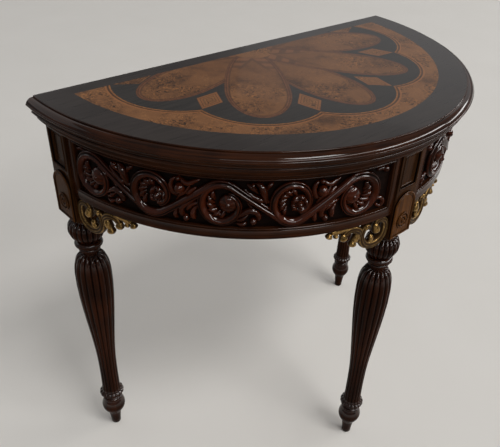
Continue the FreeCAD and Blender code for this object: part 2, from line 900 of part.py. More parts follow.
# Stems of a bracket. Places, straight runs and bend radii are shares of its reach, counted out from the block
# and down from the apron: start, heading, bends of (turn, share), and the thickness at both ends as shares of
# the bracket's own stem radius.
BRACKET_STEM_SHARES = (
    ((0.174, -0.038), 200, ((170, 0.182), (80, 0.227), (100, 0.068), (60, 0.045)), 0.95, 0.7),
    ((0.174, -0.038), -85, ((0, 0.1),), 0.8, 0.8),
    ((0.32, -0.37), 115, ((0, 0.11),), 0.6, 0.6),
    ((0.477, -0.25), 75, ((0, 0.106), (-170, 0.098)), 0.8, 0.75),
    ((0.53, -0.12), -68, ((0, 0.136),), 0.7, 0.6),
    ((0.576, -0.023), 0, ((0, 0.35),), 0.55, 0.5),
)
# Balls at the ends of the stems: place, and radius as a share of the reach.
BRACKET_BALL_SHARES = (
    ((0.182, -0.155), 0.065), ((0.273, -0.258), 0.042), ((0.583, -0.28), 0.045), ((0.715, -0.165), 0.047),
    ((0.947, -0.068), 0.046),
)
bracket_radius = frame_radius - d.bracket_stem - d.bracket_set


def bracket_shapes():
    """A large C-scroll beside the leg that curls in, then an arch with a drop, and a bud on a thin stem."""
    reach = d.bracket_reach.number
    thick = d.bracket_stem.number
    shapes = []
    for (x, y), heading, bends, first, last in BRACKET_STEM_SHARES:
        scaled = [(turn, share * reach) for turn, share in bends]
        shapes.append(horn((x * reach, y * reach), heading, scaled, first * thick, last * thick))
    for (x, y), radius in BRACKET_BALL_SHARES:
        shapes.append(ball(x * reach, y * reach, radius * reach))
    return shapes


def build_brackets():
    """Four brackets under the aprons, each beside a block and cut to seat on block and apron."""
    reach = d.bracket_reach.number
    radius = bracket_radius.number
    back_start = -90 + math.degrees(math.asin((centre_y - side_joint_y).number / radius))
    front_start = -math.degrees(math.asin(block_half.number / radius))
    swing = math.degrees(reach / radius)
    depth = radius * math.cos(math.radians(swing / 2))
    rise = (radius - depth) / 2
    width = d.block_width.number
    above = Part.makeBox(2 * reach, reach, reach, Vector(-reach, 0, -reach / 2))
    for name, start, hand in (("left_leg_bracket", back_start, 1), ("front_left_bracket", front_start, -1)):
        middle = start + hand * swing / 2
        shapes = [flipped(shape, hand, 1) for shape in bracket_shapes()]
        bracket = shapes[0].multiFuse(shapes[1:])
        bracket.translate(Vector(-hand * reach / 2, 0, 0))
        bracket = bracket.cut(above)
        bracket = placed(bracket, on_curve(middle, depth + rise, apron_base.number))
        post = Part.makeBox(width, width, d.top_height.number)
        if hand > 0:
            post.translate(Vector(-block_reach.number, side_joint_y.number, 0))
        else:
            post.translate(Vector(-block_half.number, centre_y.number - block_reach.number, 0))
        bracket = bracket.cut(post)
        node(made(name + "_carved", bracket), name)
        other = name.replace("left_leg", "right_leg").replace("front_left", "front_right")
        twin = bracket.mirror(Vector(0, 0, 0), Vector(1, 0, 0))
        node(made(other + "_carved", twin), other)


# Marquetry: veneers laid edge to edge on the board, level with the top of the lipping.

hub_y = back_y - d.strip_width
# Sizes of the fan as shares of a petal's length, which follows from the field.
PETAL_WAIST_SHARE = 0.65
PETAL_HALF_WIDTH_SHARE = 0.185
SCALLOP_REACH_SHARE = 0.7
SCALLOP_RADIUS_SHARE = 0.373
LOZENGE_REACH_SHARE = 0.831
field_radius = board_radius - d.border_width
petal_length = field_radius - d.petal_margin
petal_waist = petal_length * PETAL_WAIST_SHARE
petal_half_width = petal_length * PETAL_HALF_WIDTH_SHARE
scallop_reach = petal_length * SCALLOP_REACH_SHARE
scallop_radius = petal_length * SCALLOP_RADIUS_SHARE
lozenge_reach = petal_length * LOZENGE_REACH_SHARE


def sheet_of(face):
    """A veneer of one face's outline, laid on the board."""
    face.translate(Vector(0, 0, veneer_base.number))
    return face.extrude(Vector(0, 0, d.veneer_thickness.number))


def disc(radius, x, y):
    return Part.Face(Part.Wire(Part.Circle(Vector(x, y, 0), Vector(0, 0, 1), radius).toShape()))


def fan_point(reach, angle):
    """A point at a distance and angle from the hub, the angle counted from straight forwards."""
    turn = math.radians(angle)
    return Vector(reach * math.sin(turn), hub_y.number - reach * math.cos(turn), 0)


def petal_face(angle, inset):
    """An egg-shaped petal: two half ellipses on the same width, the long one towards the hub."""
    waist = petal_waist.number
    width = petal_half_width.number - inset
    outer = petal_length.number - waist - inset
    inner = waist - inset
    turn = math.radians(angle)
    out = Vector(math.sin(turn), -math.cos(turn), 0)
    side = Vector(math.cos(turn), math.sin(turn), 0)
    middle = fan_point(waist, angle)
    edges = []
    for length, hand in ((outer, 1), (inner, -1)):
        tip = middle + out * (length * hand)
        ellipse = Part.Ellipse(tip, middle + side * (width * hand), middle)
        edges.append(Part.ArcOfEllipse(ellipse, -math.pi / 2, math.pi / 2).toShape())
    return Part.Face(Part.Wire(Part.__sortEdges__(edges)))


def lozenge_face(angle, inset):
    """A rhombus that points at the hub."""
    length = d.lozenge_length.number / 2
    width = d.lozenge_width.number / 2
    shrink = 1 - inset * math.hypot(length, width) / (length * width)
    turn = math.radians(angle)
    out = Vector(math.sin(turn), -math.cos(turn), 0) * (length * shrink)
    side = Vector(math.cos(turn), math.sin(turn), 0) * (width * shrink)
    middle = fan_point(lozenge_reach.number, angle)
    corners = [middle + out, middle + side, middle - out, middle - side, middle + out]
    return Part.Face(Part.makePolygon(corners))


def fan_face(grow):
    """The scalloped ground of the fan, grown outwards by a band."""
    reach = scallop_reach.number
    faces = [disc(reach + grow, 0, hub_y.number)]
    for step in PETAL_ORDER:
        at = fan_point(reach, step * PETAL_PITCH)
        faces.append(disc(scallop_radius.number + grow, at.x, at.y))
    return faces[0].multiFuse(faces[1:]).removeSplitter()


def build_marquetry():
    """Border, field, stringing, fan ground, petals, lozenges and hub."""
    reach = far.number
    behind = Part.makePlane(2 * reach, reach, Vector(-reach, back_y.number, 0))
    strip = Part.makePlane(2 * reach, reach, Vector(-reach, hub_y.number, 0))
    whole = disc(board_radius.number, 0, centre_y.number).cut(behind)
    field = disc(field_radius.number, 0, centre_y.number).cut(strip)
    line = fan_face(d.stringing_width.number).cut(strip)
    ground = fan_face(0).cut(strip)
    hub = disc(d.hub_radius.number, 0, hub_y.number).cut(strip)

    laid = {}
    taken = [hub]
    for step in PETAL_ORDER:
        angle = step * PETAL_PITCH
        number = 1 + step - min(PETAL_ORDER)
        closed = [strip] + taken
        if step != 0:
            other_side = -reach if step > 0 else 0
            closed.append(Part.makePlane(reach, 2 * reach, Vector(other_side, -reach, 0)))
        whole_petal = petal_face(angle, 0).cut(closed)
        panel = petal_face(angle, d.petal_band.number).cut(closed)
        laid[f"petal_{number}_band"] = whole_petal.cut(panel)
        laid[f"petal_{number}_panel"] = panel
        taken.append(whole_petal)
    lozenge_angles = [step * PETAL_PITCH for step in LOZENGE_STEPS]
    lozenges = Part.makeCompound([lozenge_face(angle, 0) for angle in lozenge_angles])
    centres = Part.makeCompound([lozenge_face(angle, d.lozenge_band.number) for angle in lozenge_angles])
    laid["lozenge_bands"] = lozenges.cut(centres)
    laid["lozenge_panels"] = centres
    laid["hub_veneer"] = hub
    laid["fan_ground_veneer"] = ground.cut(taken + [lozenges])
    laid["fan_stringing"] = line.cut(ground)
    laid["burl_field_veneer"] = field.cut(line)
    laid["border_veneer"] = whole.cut(field)
    for name, face in laid.items():
        node(made(name + "_sheet", sheet_of(face)), name)


def build_table():
    board = build_top()
    left_front, left_back = build_apron(-1, "left_apron")
    right_front, right_back = build_apron(1, "right_apron")
    (rail_left, rail_right), stub = build_back_rail()
    build_bearer_and_screws(stub, board)
    build_glue_blocks()
    blank = build_leg_blank()
    build_legs(blank, {
        "left": [left_back, rail_left],
        "front": [left_front, right_front],
        "right": [right_back, rail_right],
    })
    build_frieze(-1, "left_frieze_carving")
    build_frieze(1, "right_frieze_carving")
    build_brackets()
    build_marquetry()


def write_parts():
    """Recomputes the document, checks every object and writes each sub-part."""
    doc.recompute()
    for obj in doc.Objects:
        if "Invalid" in obj.State or "Error" in obj.State:
            raise RuntimeError(f"{obj.Name} failed: {obj.State}")
    for obj in nodes:
        if obj.Shape.isNull() or not obj.Shape.isValid() or not obj.Shape.Solids:
            raise RuntimeError(f"{obj.Label} has no valid solid")
    os.makedirs("parts", exist_ok=True)
    for obj in nodes:
        obj.Shape.exportStep(f"parts/{obj.Label}.step")
        print(obj.Label, len(obj.Shape.Solids), round(obj.Shape.Volume))


build_table()
write_parts()
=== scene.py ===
import math

import bpy
import numpy as np
from mathutils import Matrix, Vector


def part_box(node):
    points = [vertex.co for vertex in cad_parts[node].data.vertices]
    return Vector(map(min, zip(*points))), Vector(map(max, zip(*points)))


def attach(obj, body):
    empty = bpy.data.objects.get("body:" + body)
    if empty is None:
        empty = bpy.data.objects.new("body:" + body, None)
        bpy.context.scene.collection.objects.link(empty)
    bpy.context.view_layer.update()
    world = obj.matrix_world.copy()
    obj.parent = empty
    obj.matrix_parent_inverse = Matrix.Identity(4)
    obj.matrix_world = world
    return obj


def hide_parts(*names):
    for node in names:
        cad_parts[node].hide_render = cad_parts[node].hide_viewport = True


# Looks of the demilune table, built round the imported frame.
# Lengths are millimetres in the frame's axes and become metres when a mesh is made.

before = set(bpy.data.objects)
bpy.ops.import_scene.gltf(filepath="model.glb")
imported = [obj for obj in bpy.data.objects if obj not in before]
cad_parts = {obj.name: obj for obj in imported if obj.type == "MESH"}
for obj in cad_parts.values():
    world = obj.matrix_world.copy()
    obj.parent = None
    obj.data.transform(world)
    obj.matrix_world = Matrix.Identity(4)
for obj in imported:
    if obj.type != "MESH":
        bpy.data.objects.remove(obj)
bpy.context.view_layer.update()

MM = 1000.0
TAU = 2.0 * math.pi


def node_box(node):
    """Lowest and highest corner of a node of the frame, in millimetres."""
    low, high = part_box(node)
    return np.array(low) * MM, np.array(high) * MM


# Places read from the frame.
lip_low, lip_high = node_box("top_edge_lipping")
apron_low, _ = node_box("left_apron")
rails_low, rails_high = node_box("left_frieze_frame")
bed_low, bed_high = node_box("bed_moulding")
EDGE = lip_high[0]
BACK_Y = lip_high[1]
TOP = lip_high[2]
BOARD_BASE = lip_low[2]
CENTRE_Y = lip_low[1] + EDGE
BLOCK_HALF = -rails_high[0]
APRON_BASE = rails_low[2]
APRON_TOP = rails_high[2]
JOINT_SET = CENTRE_Y - rails_high[1]
GROUND = math.hypot(BLOCK_HALF, CENTRE_Y - apron_low[1])
FACE = math.hypot(BLOCK_HALF, CENTRE_Y - rails_low[1])

# Sizes of the turned legs and their blocks.
FOOT_HEIGHT = 118.0
FOOT_RADIUS = 24.5
COLLAR_HEIGHT = 33.0
COLLAR_RADIUS = 26.0
BULB_HEIGHT = 43.0
BULB_RADIUS = 33.0
NECK_HEIGHT = 3.0
NECK_RADIUS = 21.5
SHAFT_RADIUS = 34.0
BLOCK_HEIGHT = 181.0
BLOCK_CANT = 14.0
ARRIS = 1.5
REEDS = 16
GADROONS = 20
TURNED_COLUMNS = 240
SHAFT_STATIONS = 72
BULB_STATIONS = 26
REED_DEPTH_SHARE = 0.12
GADROON_DEPTH_SHARE = 0.11
# How far the rounded ends of the reeds and gadroons are drawn along in their grooves.
REED_SLIP = 9.0
GADROON_SLIP = 3.0
BLOCK_BASE = APRON_TOP - BLOCK_HEIGHT
BULB_TOP = BLOCK_BASE - NECK_HEIGHT
BULB_BASE = BULB_TOP - BULB_HEIGHT
SHAFT_TOP = BULB_BASE - COLLAR_HEIGHT

# Profiles as shares of radius and height, with the bulge of the arc that leads on from a corner.
FOOT_SHARES = (
    (0.36, 0.0), (0.41, 0.02), (0.45, 0.14), (0.53, 0.28), (0.62, 0.36, 0.19), (0.78, 0.69), (0.72, 0.715),
    (0.73, 0.725, 0.45), (0.73, 0.775), (0.68, 0.785), (0.68, 0.835), (0.84, 0.85, 0.3), (1.0, 0.925, -0.1),
    (0.78, 1.0),
)
SHAFT_SHARES = (
    (0.0, 0.55), (0.14, 0.535), (0.27, 0.56), (0.39, 0.645), (0.51, 0.765), (0.63, 0.885),
    (0.74, 0.97), (0.84, 1.0), (0.91, 0.975), (0.955, 0.89), (0.985, 0.75), (1.0, 0.6),
)
COLLAR_SHARES = (
    (0.54, 0.0), (0.56, 0.22), (0.62, 0.24, 0.45), (0.62, 0.5), (0.68, 0.52), (0.74, 0.54, 0.47),
    (0.74, 0.96), (0.66, 1.0),
)
BULB_SHARES = (
    (0.0, 0.6), (0.1, 0.75), (0.25, 0.885), (0.42, 0.97), (0.58, 1.0), (0.76, 0.97), (0.9, 0.88), (1.0, 0.74),
)

# Sizes of the frieze and its carving.
STILE = 16.0
BOTTOM_RAIL = 20.0
TOP_RAIL = 10.0
BEAD = 3.2
RAIL_STEPS = 120
STILE_STEPS = 24
SCROLL = 34.0
STEM = 6.8
STEM_RISE = 11.5
SCROLL_DROP = 0.6
SCROLLS = 5
# Across a rimmed vine, in shares of its half width: where its groove runs, how wide it is and how far its band
# falls inwards.
RIM_GROOVE = 0.45
GROOVE_WIDTH = 0.16
BAND_SLOPE = 0.45
SQUEEZE = 0.9
FIRST_SCROLL = 38.5
LAST_SCROLL = 66.0
LAST_OUTER = 1.08
# Carving starts this far under its ground, and its ends are never thinner than this share.
SUNK = -1.0
THINNEST = 0.04
# Points along and round the carved stems.
BEND_STEPS = 120
VINE_POINTS = 240
BODY_POINTS = 60
LEAF_POINTS = 22
AROUND = 28
FINE_AROUND = 16
BUD_RINGS = 16
BUD_COLUMNS = 36
# A leaf's rise over its half width.
LEAF_STEEP = 1.75

# Sizes of the plaque, rosette and sunk panel on a block.
PANEL_HALF = 20.0
PANEL_MARGIN = 9.0
PANEL_HEIGHT = 58.0
PANEL_DEPTH = 5.0
PLAQUE_HALF = 28.0
PLAQUE_FOOT = 15.0
PLAQUE_SIDE = 66.0
PLAQUE_RISE = 22.0
PLAQUE_POINTS = 240
ROSETTE_RADIUS = 16.0
ROSETTE_UP = 46.0
ROSETTE_SET = 2.4
ROSETTE_RINGS = 44
ROSETTE_COLUMNS = 96
# Places across the panel's moulded edge, from outside it to inside.
PANEL_STEPS = np.array([-4.0, -3.4, -2.7, -2.0, -1.3, -0.6, -0.4, 0.0, 0.4, 0.8, 1.4, 2.1, 2.8, 3.6])

# Sizes of the gilt brackets.
BRACKET_REACH = 132.0
BRACKET_RADIUS = FACE - 7.0
BRACKET_STEM = 7.2
BRACKET_POINTS = 110
DROP_POINTS = 26
BRACKET_STEEP = 1.1
# The least darkness of the hollows on a bracket's ridged stems.
GROOVE_DULL = 0.25

# Marquetry of the top.
HUB_Y = BACK_Y - 30.0
PETAL_PITCH = 37.4
PETAL_LENGTH = 308.0
PETAL_WAIST = 0.65 * PETAL_LENGTH
PETAL_HALF = 0.185 * PETAL_LENGTH
PETAL_BAND = 8.0
LOZENGE_LENGTH = 76.0
LOZENGE_WIDTH = 45.0
LOZENGE_REACH = 0.831 * PETAL_LENGTH
SCALLOP_REACH = 0.7 * PETAL_LENGTH
SCALLOP = 0.373 * PETAL_LENGTH
END_LOZENGE = 266.0
INLAY_LINE = 1.9
VEE_FROM = 44.0
VEE_TO = 112.0
VEE_SLOPE = 0.5
CHEQUER = 27.0

# Camera, as found from the photograph: place, turn, tilt and roll, focal length and middle in its pixels.
PHOTO_SIZE = (500, 447)
CAMERA_AT = (-789.82, -682.24, 1191.68)
CAMERA_TURN = 47.134
CAMERA_TILT = 36.034
CAMERA_ROLL = -4.856
FOCAL_PIXELS = 607.462
MIDDLE_PIXEL = (290.453, 246.348)
SENSOR = 36.0


# Curves and surfaces.

def bow(first, last, bulge, count):
    """Points of a circular arc from first to last.

    The bulge is the arc's height over its chord, to the right of the way it runs. The point at share s lies at
    chord * sin(s a) / sin(a), turned by (s - 1) a, where a is half of the angle that the arc turns through.
    """
    share = np.linspace(0.0, 1.0, count)
    start = complex(*first)
    chord = complex(*last) - start
    half = 2.0 * math.atan(2.0 * bulge)
    line = start + chord * share
    if bulge:
        line = start + chord * np.sin(share * half) / math.sin(half) * np.exp(1j * (share - 1.0) * half)
    return np.stack([line.real, line.imag], -1)


def profile(corners, fine=10):
    """A profile through the corners, with an arc of fine points after each corner that gives a bulge."""
    runs = []
    for here, there in zip(corners[:-1], corners[1:]):
        bulge = here[2] if len(here) > 2 else 0.0
        runs.append(bow(here[:2], there[:2], bulge, fine if bulge else 2)[:-1])
    runs.append(np.array([corners[-1][:2]], float))
    return np.concatenate(runs)


def smooth_through(knots, count):
    """A smooth line through knots: cubic pieces whose slopes are those of the chords over each knot."""
    knots = np.array(knots, float)
    place = knots[:, 0]
    slope = np.gradient(knots[:, 1], place)
    at = np.linspace(place[0], place[-1], count)
    left = np.clip(np.searchsorted(place, at, side="right") - 1, 0, len(place) - 2)
    span = place[left + 1] - place[left]
    t = (at - place[left]) / span
    value = (
        knots[left, 1] * (1 + 2 * t) * (1 - t) ** 2 + span * slope[left] * t * (1 - t) ** 2
        + knots[left + 1, 1] * t ** 2 * (3 - 2 * t) + span * slope[left + 1] * t ** 2 * (t - 1)
    )
    return at, value


def lengths(line):
    """How far along a line of points each point lies."""
    return np.concatenate([[0.0], np.cumsum(np.linalg.norm(np.diff(line, axis=0), axis=1))])


def evenly(line, count):
    """Evenly spaced points along a line of points in a plane."""
    travel = lengths(line)
    at = np.linspace(0.0, travel[-1], count)
    return np.stack([np.interp(at, travel, line[:, axis]) for axis in (0, 1)], -1)


def direction(degrees):
    """The step of length 1 at an angle in a plane."""
    return np.array([math.cos(math.radians(degrees)), math.sin(math.radians(degrees))])


def circle(count):
    """Angles in even steps round a circle."""
    return np.arange(count) * TAU / count


def arch(across):
    """The height of a half circle of radius 1 over a place across it, and 0 beside it."""
    return np.sqrt(np.clip(1.0 - across ** 2, 0.0, 1.0))


def eased(share):
    """A rise from 0 to 1 with level ends: three times the share's square less twice its cube."""
    t = np.clip(share, 0.0, 1.0)
    return t * t * (3.0 - 2.0 * t)


def on_curve(radius, angle, height):
    """Places on the table's half-round: a radius and an angle from the front about its middle, and a height."""
    return np.stack([radius * np.sin(angle), CENTRE_Y - radius * np.cos(angle), height], -1)


def sheet(points, wrap=(False, True), caps=True, hollow=None, grain_rows=True):
    """A closed surface from a grid of points.

    Each cell of the grid is a four-sided face. A grid wraps over in its rows or columns, and open ends are
    capped by one face each. The surface coordinates are lengths along and across the grid, in metres, with the
    grain along the rows' way or the columns' way. Faces are turned outwards by the sign of the enclosed volume.
    """
    rows, columns = points.shape[:2]
    index = np.arange(rows * columns).reshape(rows, columns)
    down = lengths(points[:, 0])
    over = lengths(points[rows // 2])
    if wrap[0]:
        index = np.concatenate([index, index[:1]])
        down = np.append(down, down[-1] + np.linalg.norm(points[0, 0] - points[-1, 0]))
    if wrap[1]:
        index = np.concatenate([index, index[:, :1]], axis=1)
        over = np.append(over, over[-1] + np.linalg.norm(points[rows // 2, 0] - points[rows // 2, -1]))
    along, across = np.meshgrid(down, over, indexing="ij")
    surface = np.stack([along, across] if grain_rows else [across, along], -1) / MM

    def corners(grid):
        return np.stack([grid[:-1, :-1], grid[:-1, 1:], grid[1:, 1:], grid[1:, :-1]], -2 if grid.ndim > 2 else -1)

    loops = corners(index).reshape(-1)
    places = corners(surface).reshape(-1, 2)
    sizes = np.full(len(loops) // 4, 4)
    if caps:
        ends = [(index[0, :columns][::-1], surface[0, :columns][::-1]), (index[-1, :columns], surface[-1, :columns])]
        if not wrap[1]:
            ends = [(index[:rows, 0], surface[:rows, 0]), (index[:rows, -1][::-1], surface[:rows, -1][::-1])]
        loops = np.concatenate([loops] + [end[0] for end in ends])
        places = np.concatenate([places] + [end[1] for end in ends])
        sizes = np.concatenate([sizes, [len(end[0]) for end in ends]])
    flat = points.reshape(-1, 3)
    shade = np.zeros(len(flat)) if hollow is None else np.broadcast_to(hollow, (rows, columns)).reshape(-1)
    part = {"points": flat, "loops": loops, "sizes": sizes, "places": places, "hollow": shade}
    return turned_over(part) if volume(part) < 0.0 else part


def volume(part):
    """The volume that a closed surface encloses: a sixth of the triple products over a fan in each face."""
    starts = np.cumsum(part["sizes"]) - part["sizes"]
    first = np.repeat(part["loops"][starts], part["sizes"])
    following = np.roll(part["loops"], -1)
    following[starts + part["sizes"] - 1] = part["loops"][starts]
    at = part["points"] - part["points"].mean(0)
    return np.einsum("ij,ij->", at[first], np.cross(at[part["loops"]], at[following])) / 6.0


def turned_over(part):
    """The same surface with each face's corners in the other order."""
    starts = np.repeat(np.cumsum(part["sizes"]) - part["sizes"], part["sizes"])
    spans = np.repeat(part["sizes"], part["sizes"])
    order = 2 * starts + spans - 1 - np.arange(len(part["loops"]))
    return dict(part, loops=part["loops"][order], places=part["places"][order])


def mirrored(part):
    """The surface on the other side of the table's middle plane, its faces still outwards."""
    return turned_over(dict(part, points=part["points"] * np.array([-1.0, 1.0, 1.0])))


def moved(part, turn, place):
    """The surface turned about the upright axis by degrees and moved to a place."""
    c, s = direction(turn)
    spin = np.array([[c, s, 0.0], [-s, c, 0.0], [0.0, 0.0, 1.0]])
    return dict(part, points=part["points"] @ spin + np.array(place))


def placed(name, data):
    """A new object in the scene."""
    made = bpy.data.objects.new(name, data)
    bpy.context.scene.collection.objects.link(made)
    return made


def piece(name, parts, finish, stands_for, sharp=None):
    """One object from closed surfaces, in metres, that rides on the table and stands for nodes of the frame."""
    def joined(key):
        return np.concatenate([part[key] for part in parts])

    points = joined("points") / MM
    sizes = joined("sizes")
    shifts = np.cumsum([0] + [len(part["points"]) for part in parts[:-1]])
    loops = np.concatenate([part["loops"] + shift for part, shift in zip(parts, shifts)])
    mesh = bpy.data.meshes.new(name)
    mesh.vertices.add(len(points))
    mesh.vertices.foreach_set("co", points.ravel())
    mesh.loops.add(len(loops))
    mesh.loops.foreach_set("vertex_index", loops.astype(np.int32))
    mesh.polygons.add(len(sizes))
    mesh.polygons.foreach_set("loop_start", (np.cumsum(sizes) - sizes).astype(np.int32))
    mesh.update(calc_edges=True)
    mesh.uv_layers.new(name="grain").data.foreach_set("uv", joined("places").ravel())
    normals = np.empty(3 * len(points), np.float32)
    mesh.vertex_normals.foreach_get("vector", normals)
    for key, values in (("hollow", joined("hollow")), ("upward", np.ascontiguousarray(normals[2::3]))):
        mesh.attributes.new(key, "FLOAT", "POINT").data.foreach_set("value", values)
    mesh.shade_smooth()
    if sharp:
        mesh.set_sharp_from_angle(angle=math.radians(sharp))
    mesh.materials.append(finish)
    made = placed(name, mesh)
    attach(made, "root")
    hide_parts(*stands_for)


def pair(name, parts, finish, node, sharp=None):
    """A piece of the left side and its mirror image; the names leave a gap for the side."""
    for side, own in (("left", parts), ("right", [mirrored(part) for part in parts])):
        piece(name.format(side), own, finish, [node.format(side)], sharp)


# Shader helpers.

class Value:
    """A shader socket; arithmetic on it adds Math nodes to its material."""

    def __init__(self, finish, link):
        self.finish = finish
        self.link = link

    def math(self, operation, *others):
        """A Math node on this socket and the others."""
        return self.finish.node("ShaderNodeMath", {"operation": operation}, dict(enumerate((self,) + others)))

    def __add__(self, other):
        return self.math("ADD", other)

    def __sub__(self, other):
        return self.math("SUBTRACT", other)

    def __mul__(self, other):
        return self.math("MULTIPLY", other)

    def __truediv__(self, other):
        return self.math("DIVIDE", other)

    def __rsub__(self, other):
        return self.finish.node("ShaderNodeMath", {"operation": "SUBTRACT"}, {0: other, 1: self})

    __radd__ = __add__
    __rmul__ = __mul__

    def __abs__(self):
        return self.math("ABSOLUTE")

    def __gt__(self, bound):
        return self.math("GREATER_THAN", bound)

    def hypot(self, other):
        """The length of a step that goes this far one way and the other's far across it."""
        return (self * self + other * other).math("SQRT")

    def ramp(self, low, high):
        """0 below low, 1 above high and a smooth rise between; a low above its high gives a fall."""
        turned = low > high
        ends = (high, low) if turned else (low, high)
        rise = self.finish.node(
            "ShaderNodeMapRange", {"interpolation_type": "SMOOTHSTEP"}, {0: self, 1: ends[0], 2: ends[1]}
        )
        return 1.0 - rise if turned else rise


class Finish:
    """A material on the Principled shader, or the world, with one method that adds any node."""

    def __init__(self, name, owners=bpy.data.materials, shader="Principled BSDF"):
        self.material = owners.new(name)
        self.material.use_nodes = True
        self.tree = self.material.node_tree
        self.shader = self.tree.nodes[shader]

    def feed(self, socket, value):
        """Links a value to a socket, or sets a constant on it."""
        if isinstance(value, Value):
            self.tree.links.new(value.link, socket)
        else:
            socket.default_value = value

    def node(self, kind, settings=None, inputs=None, output=0):
        """A node of any type, its settings first, then the values or links of its sockets."""
        made = self.tree.nodes.new(kind)
        for key, value in (settings or {}).items():
            setattr(made, key, value)
        for key, value in (inputs or {}).items():
            self.feed(made.inputs[key], value)
        return Value(self, made.outputs[output])

    def mix(self, share, first, second):
        """A colour that goes from the first to the second with the share."""
        return self.node("ShaderNodeMix", {"data_type": "RGBA"}, {0: share, 6: first, 7: second}, 2)

    def place(self, stretch=(1.0, 1.0, 1.0)):
        """Object coordinates, in metres, stretched."""
        spot = self.node("ShaderNodeTexCoord", output="Object")
        return self.node("ShaderNodeVectorMath", {"operation": "MULTIPLY"}, {0: spot, 1: stretch})

    def grain(self, stretch):
        """The piece's own surface coordinates, in metres, stretched."""
        spot = self.node("ShaderNodeUVMap", {"uv_map": "grain"})
        return self.node("ShaderNodeVectorMath", {"operation": "MULTIPLY"}, {0: spot, 1: stretch})

    def carried(self, name):
        """What the mesh carries: hollow, how deep in a groove it lies, or upward, how far it faces up."""
        return self.node("ShaderNodeAttribute", {"attribute_name": name}, output="Fac")

    def noise(self, spot, scale, detail=3.0, roughness=0.55, distortion=0.0):
        """Soft noise about a half, on stretched coordinates."""
        inputs = {"Vector": spot, "Scale": scale, "Detail": detail, "Roughness": roughness}
        return self.node("ShaderNodeTexNoise", inputs=dict(inputs, Distortion=distortion))

    def split(self, spot):
        """The three numbers of a vector."""
        first = self.node("ShaderNodeSeparateXYZ", inputs={0: spot})
        return [Value(self, output) for output in first.link.node.outputs]

    def millimetres(self):
        """The three object coordinates, in millimetres."""
        return self.split(self.place((MM, MM, MM)))

    def bump(self, height, strength, depth):
        """A fine relief on the normal; depth is in metres."""
        made = self.node("ShaderNodeBump", inputs={"Height": height, "Strength": strength, "Distance": depth})
        self.feed(self.shader.inputs["Normal"], made)

    def set(self, **inputs):
        """Sets or links the shader's own sockets and gives the finished material."""
        for key, value in inputs.items():
            self.feed(self.shader.inputs[key.replace("_", " ")], value)
        return self.material


def tint(red, green, blue):
    """A colour given as screen values from 0 to 255, made linear."""
    screen = np.array([red, green, blue]) / 255.0
    linear = np.where(screen <= 0.04045, screen / 12.92, ((screen + 0.055) / 1.055) ** 2.4)
    return (*map(float, linear), 1.0)


POLISH = tint(255, 214, 180)
# Near black for the painted shade in the hollows of the mahogany.
PAINTED_HOLLOW_SHADE = tint(3, 2, 2)
LOZENGE_LINE = tint(40, 22, 13)


def mahogany_finish(name, light, dark, gloss=0.14, coat=1.0, block=None, upright=False):
    """Dark polished mahogany: streaks along the grain, painted shade that turns the hollows near black, the polish
    on the upper sides.

    The block's light and dark colours, where they are given, take over above the foot of the legs' blocks, with
    little polish, as painted light: a lighter, lit copy of the same wood. An upright piece has its grain along the
    height instead of along its own surface.
    """
    f = Finish(name)
    hollow = f.carried("hollow")
    spot = f.place((320.0, 320.0, 9.0)) if upright else f.grain((9.0, 320.0, 1.0))
    streak = f.noise(spot, 1.0, 4.0, 0.6, 0.4)
    cloud = f.noise(f.place(), 14.0, 2.0)
    figure = (streak * 0.65 + cloud * 0.35).ramp(0.34, 0.7)
    wood = f.mix(figure, dark, light)
    # Painted light: above the blocks' foot a lighter, lit copy of the same mahogany takes over.
    if block is not None:
        _, _, up = f.millimetres()
        on_block = up > BLOCK_BASE - 1.0
        wood = f.mix(on_block, wood, f.mix(figure, block[1], block[0]))
        coat = 1.0 - on_block * 0.9
    # Painted shade: the colour goes towards near black where the mesh's hollow value is high.
    colour = f.mix(hollow.ramp(0.08, 0.75) * 0.94, wood, PAINTED_HOLLOW_SHADE)
    f.bump(streak, 0.1, 0.0003)
    rough = cloud * 0.08 + streak * 0.05 + gloss + hollow * 0.2
    polish = (1.0 - hollow.ramp(0.1, 0.8)) * (f.carried("upward").ramp(0.05, 0.5) * 0.95 + 0.05) * coat
    return f.set(
        Base_Color=colour, Roughness=rough, Specular_IOR_Level=0.025, Specular_Tint=POLISH, Coat_Weight=polish,
        Coat_Roughness=0.06,
    )


def gilt_finish(name):
    """Old gilding: dull gold on the ridges, dark brown in the hollows and in patches."""
    f = Finish(name)
    spot = f.place()
    patch = f.noise(spot, 60.0, 4.0, 0.65)
    fleck = f.noise(spot, 380.0, 3.0, 0.6)
    worn = (f.carried("hollow") * 0.8 + patch * 0.6 + fleck * 0.15).ramp(0.4, 0.85)
    gold = f.mix(fleck.ramp(0.35, 0.7), tint(112, 84, 46), tint(166, 134, 82))
    colour = f.mix(worn, gold, tint(48, 31, 13))
    f.bump(fleck, 0.2, 0.0004)
    metal = 1.0 - worn * 0.75
    return f.set(Base_Color=colour, Roughness=worn * 0.2 + 0.24, Metallic=metal, Specular_IOR_Level=0.1)


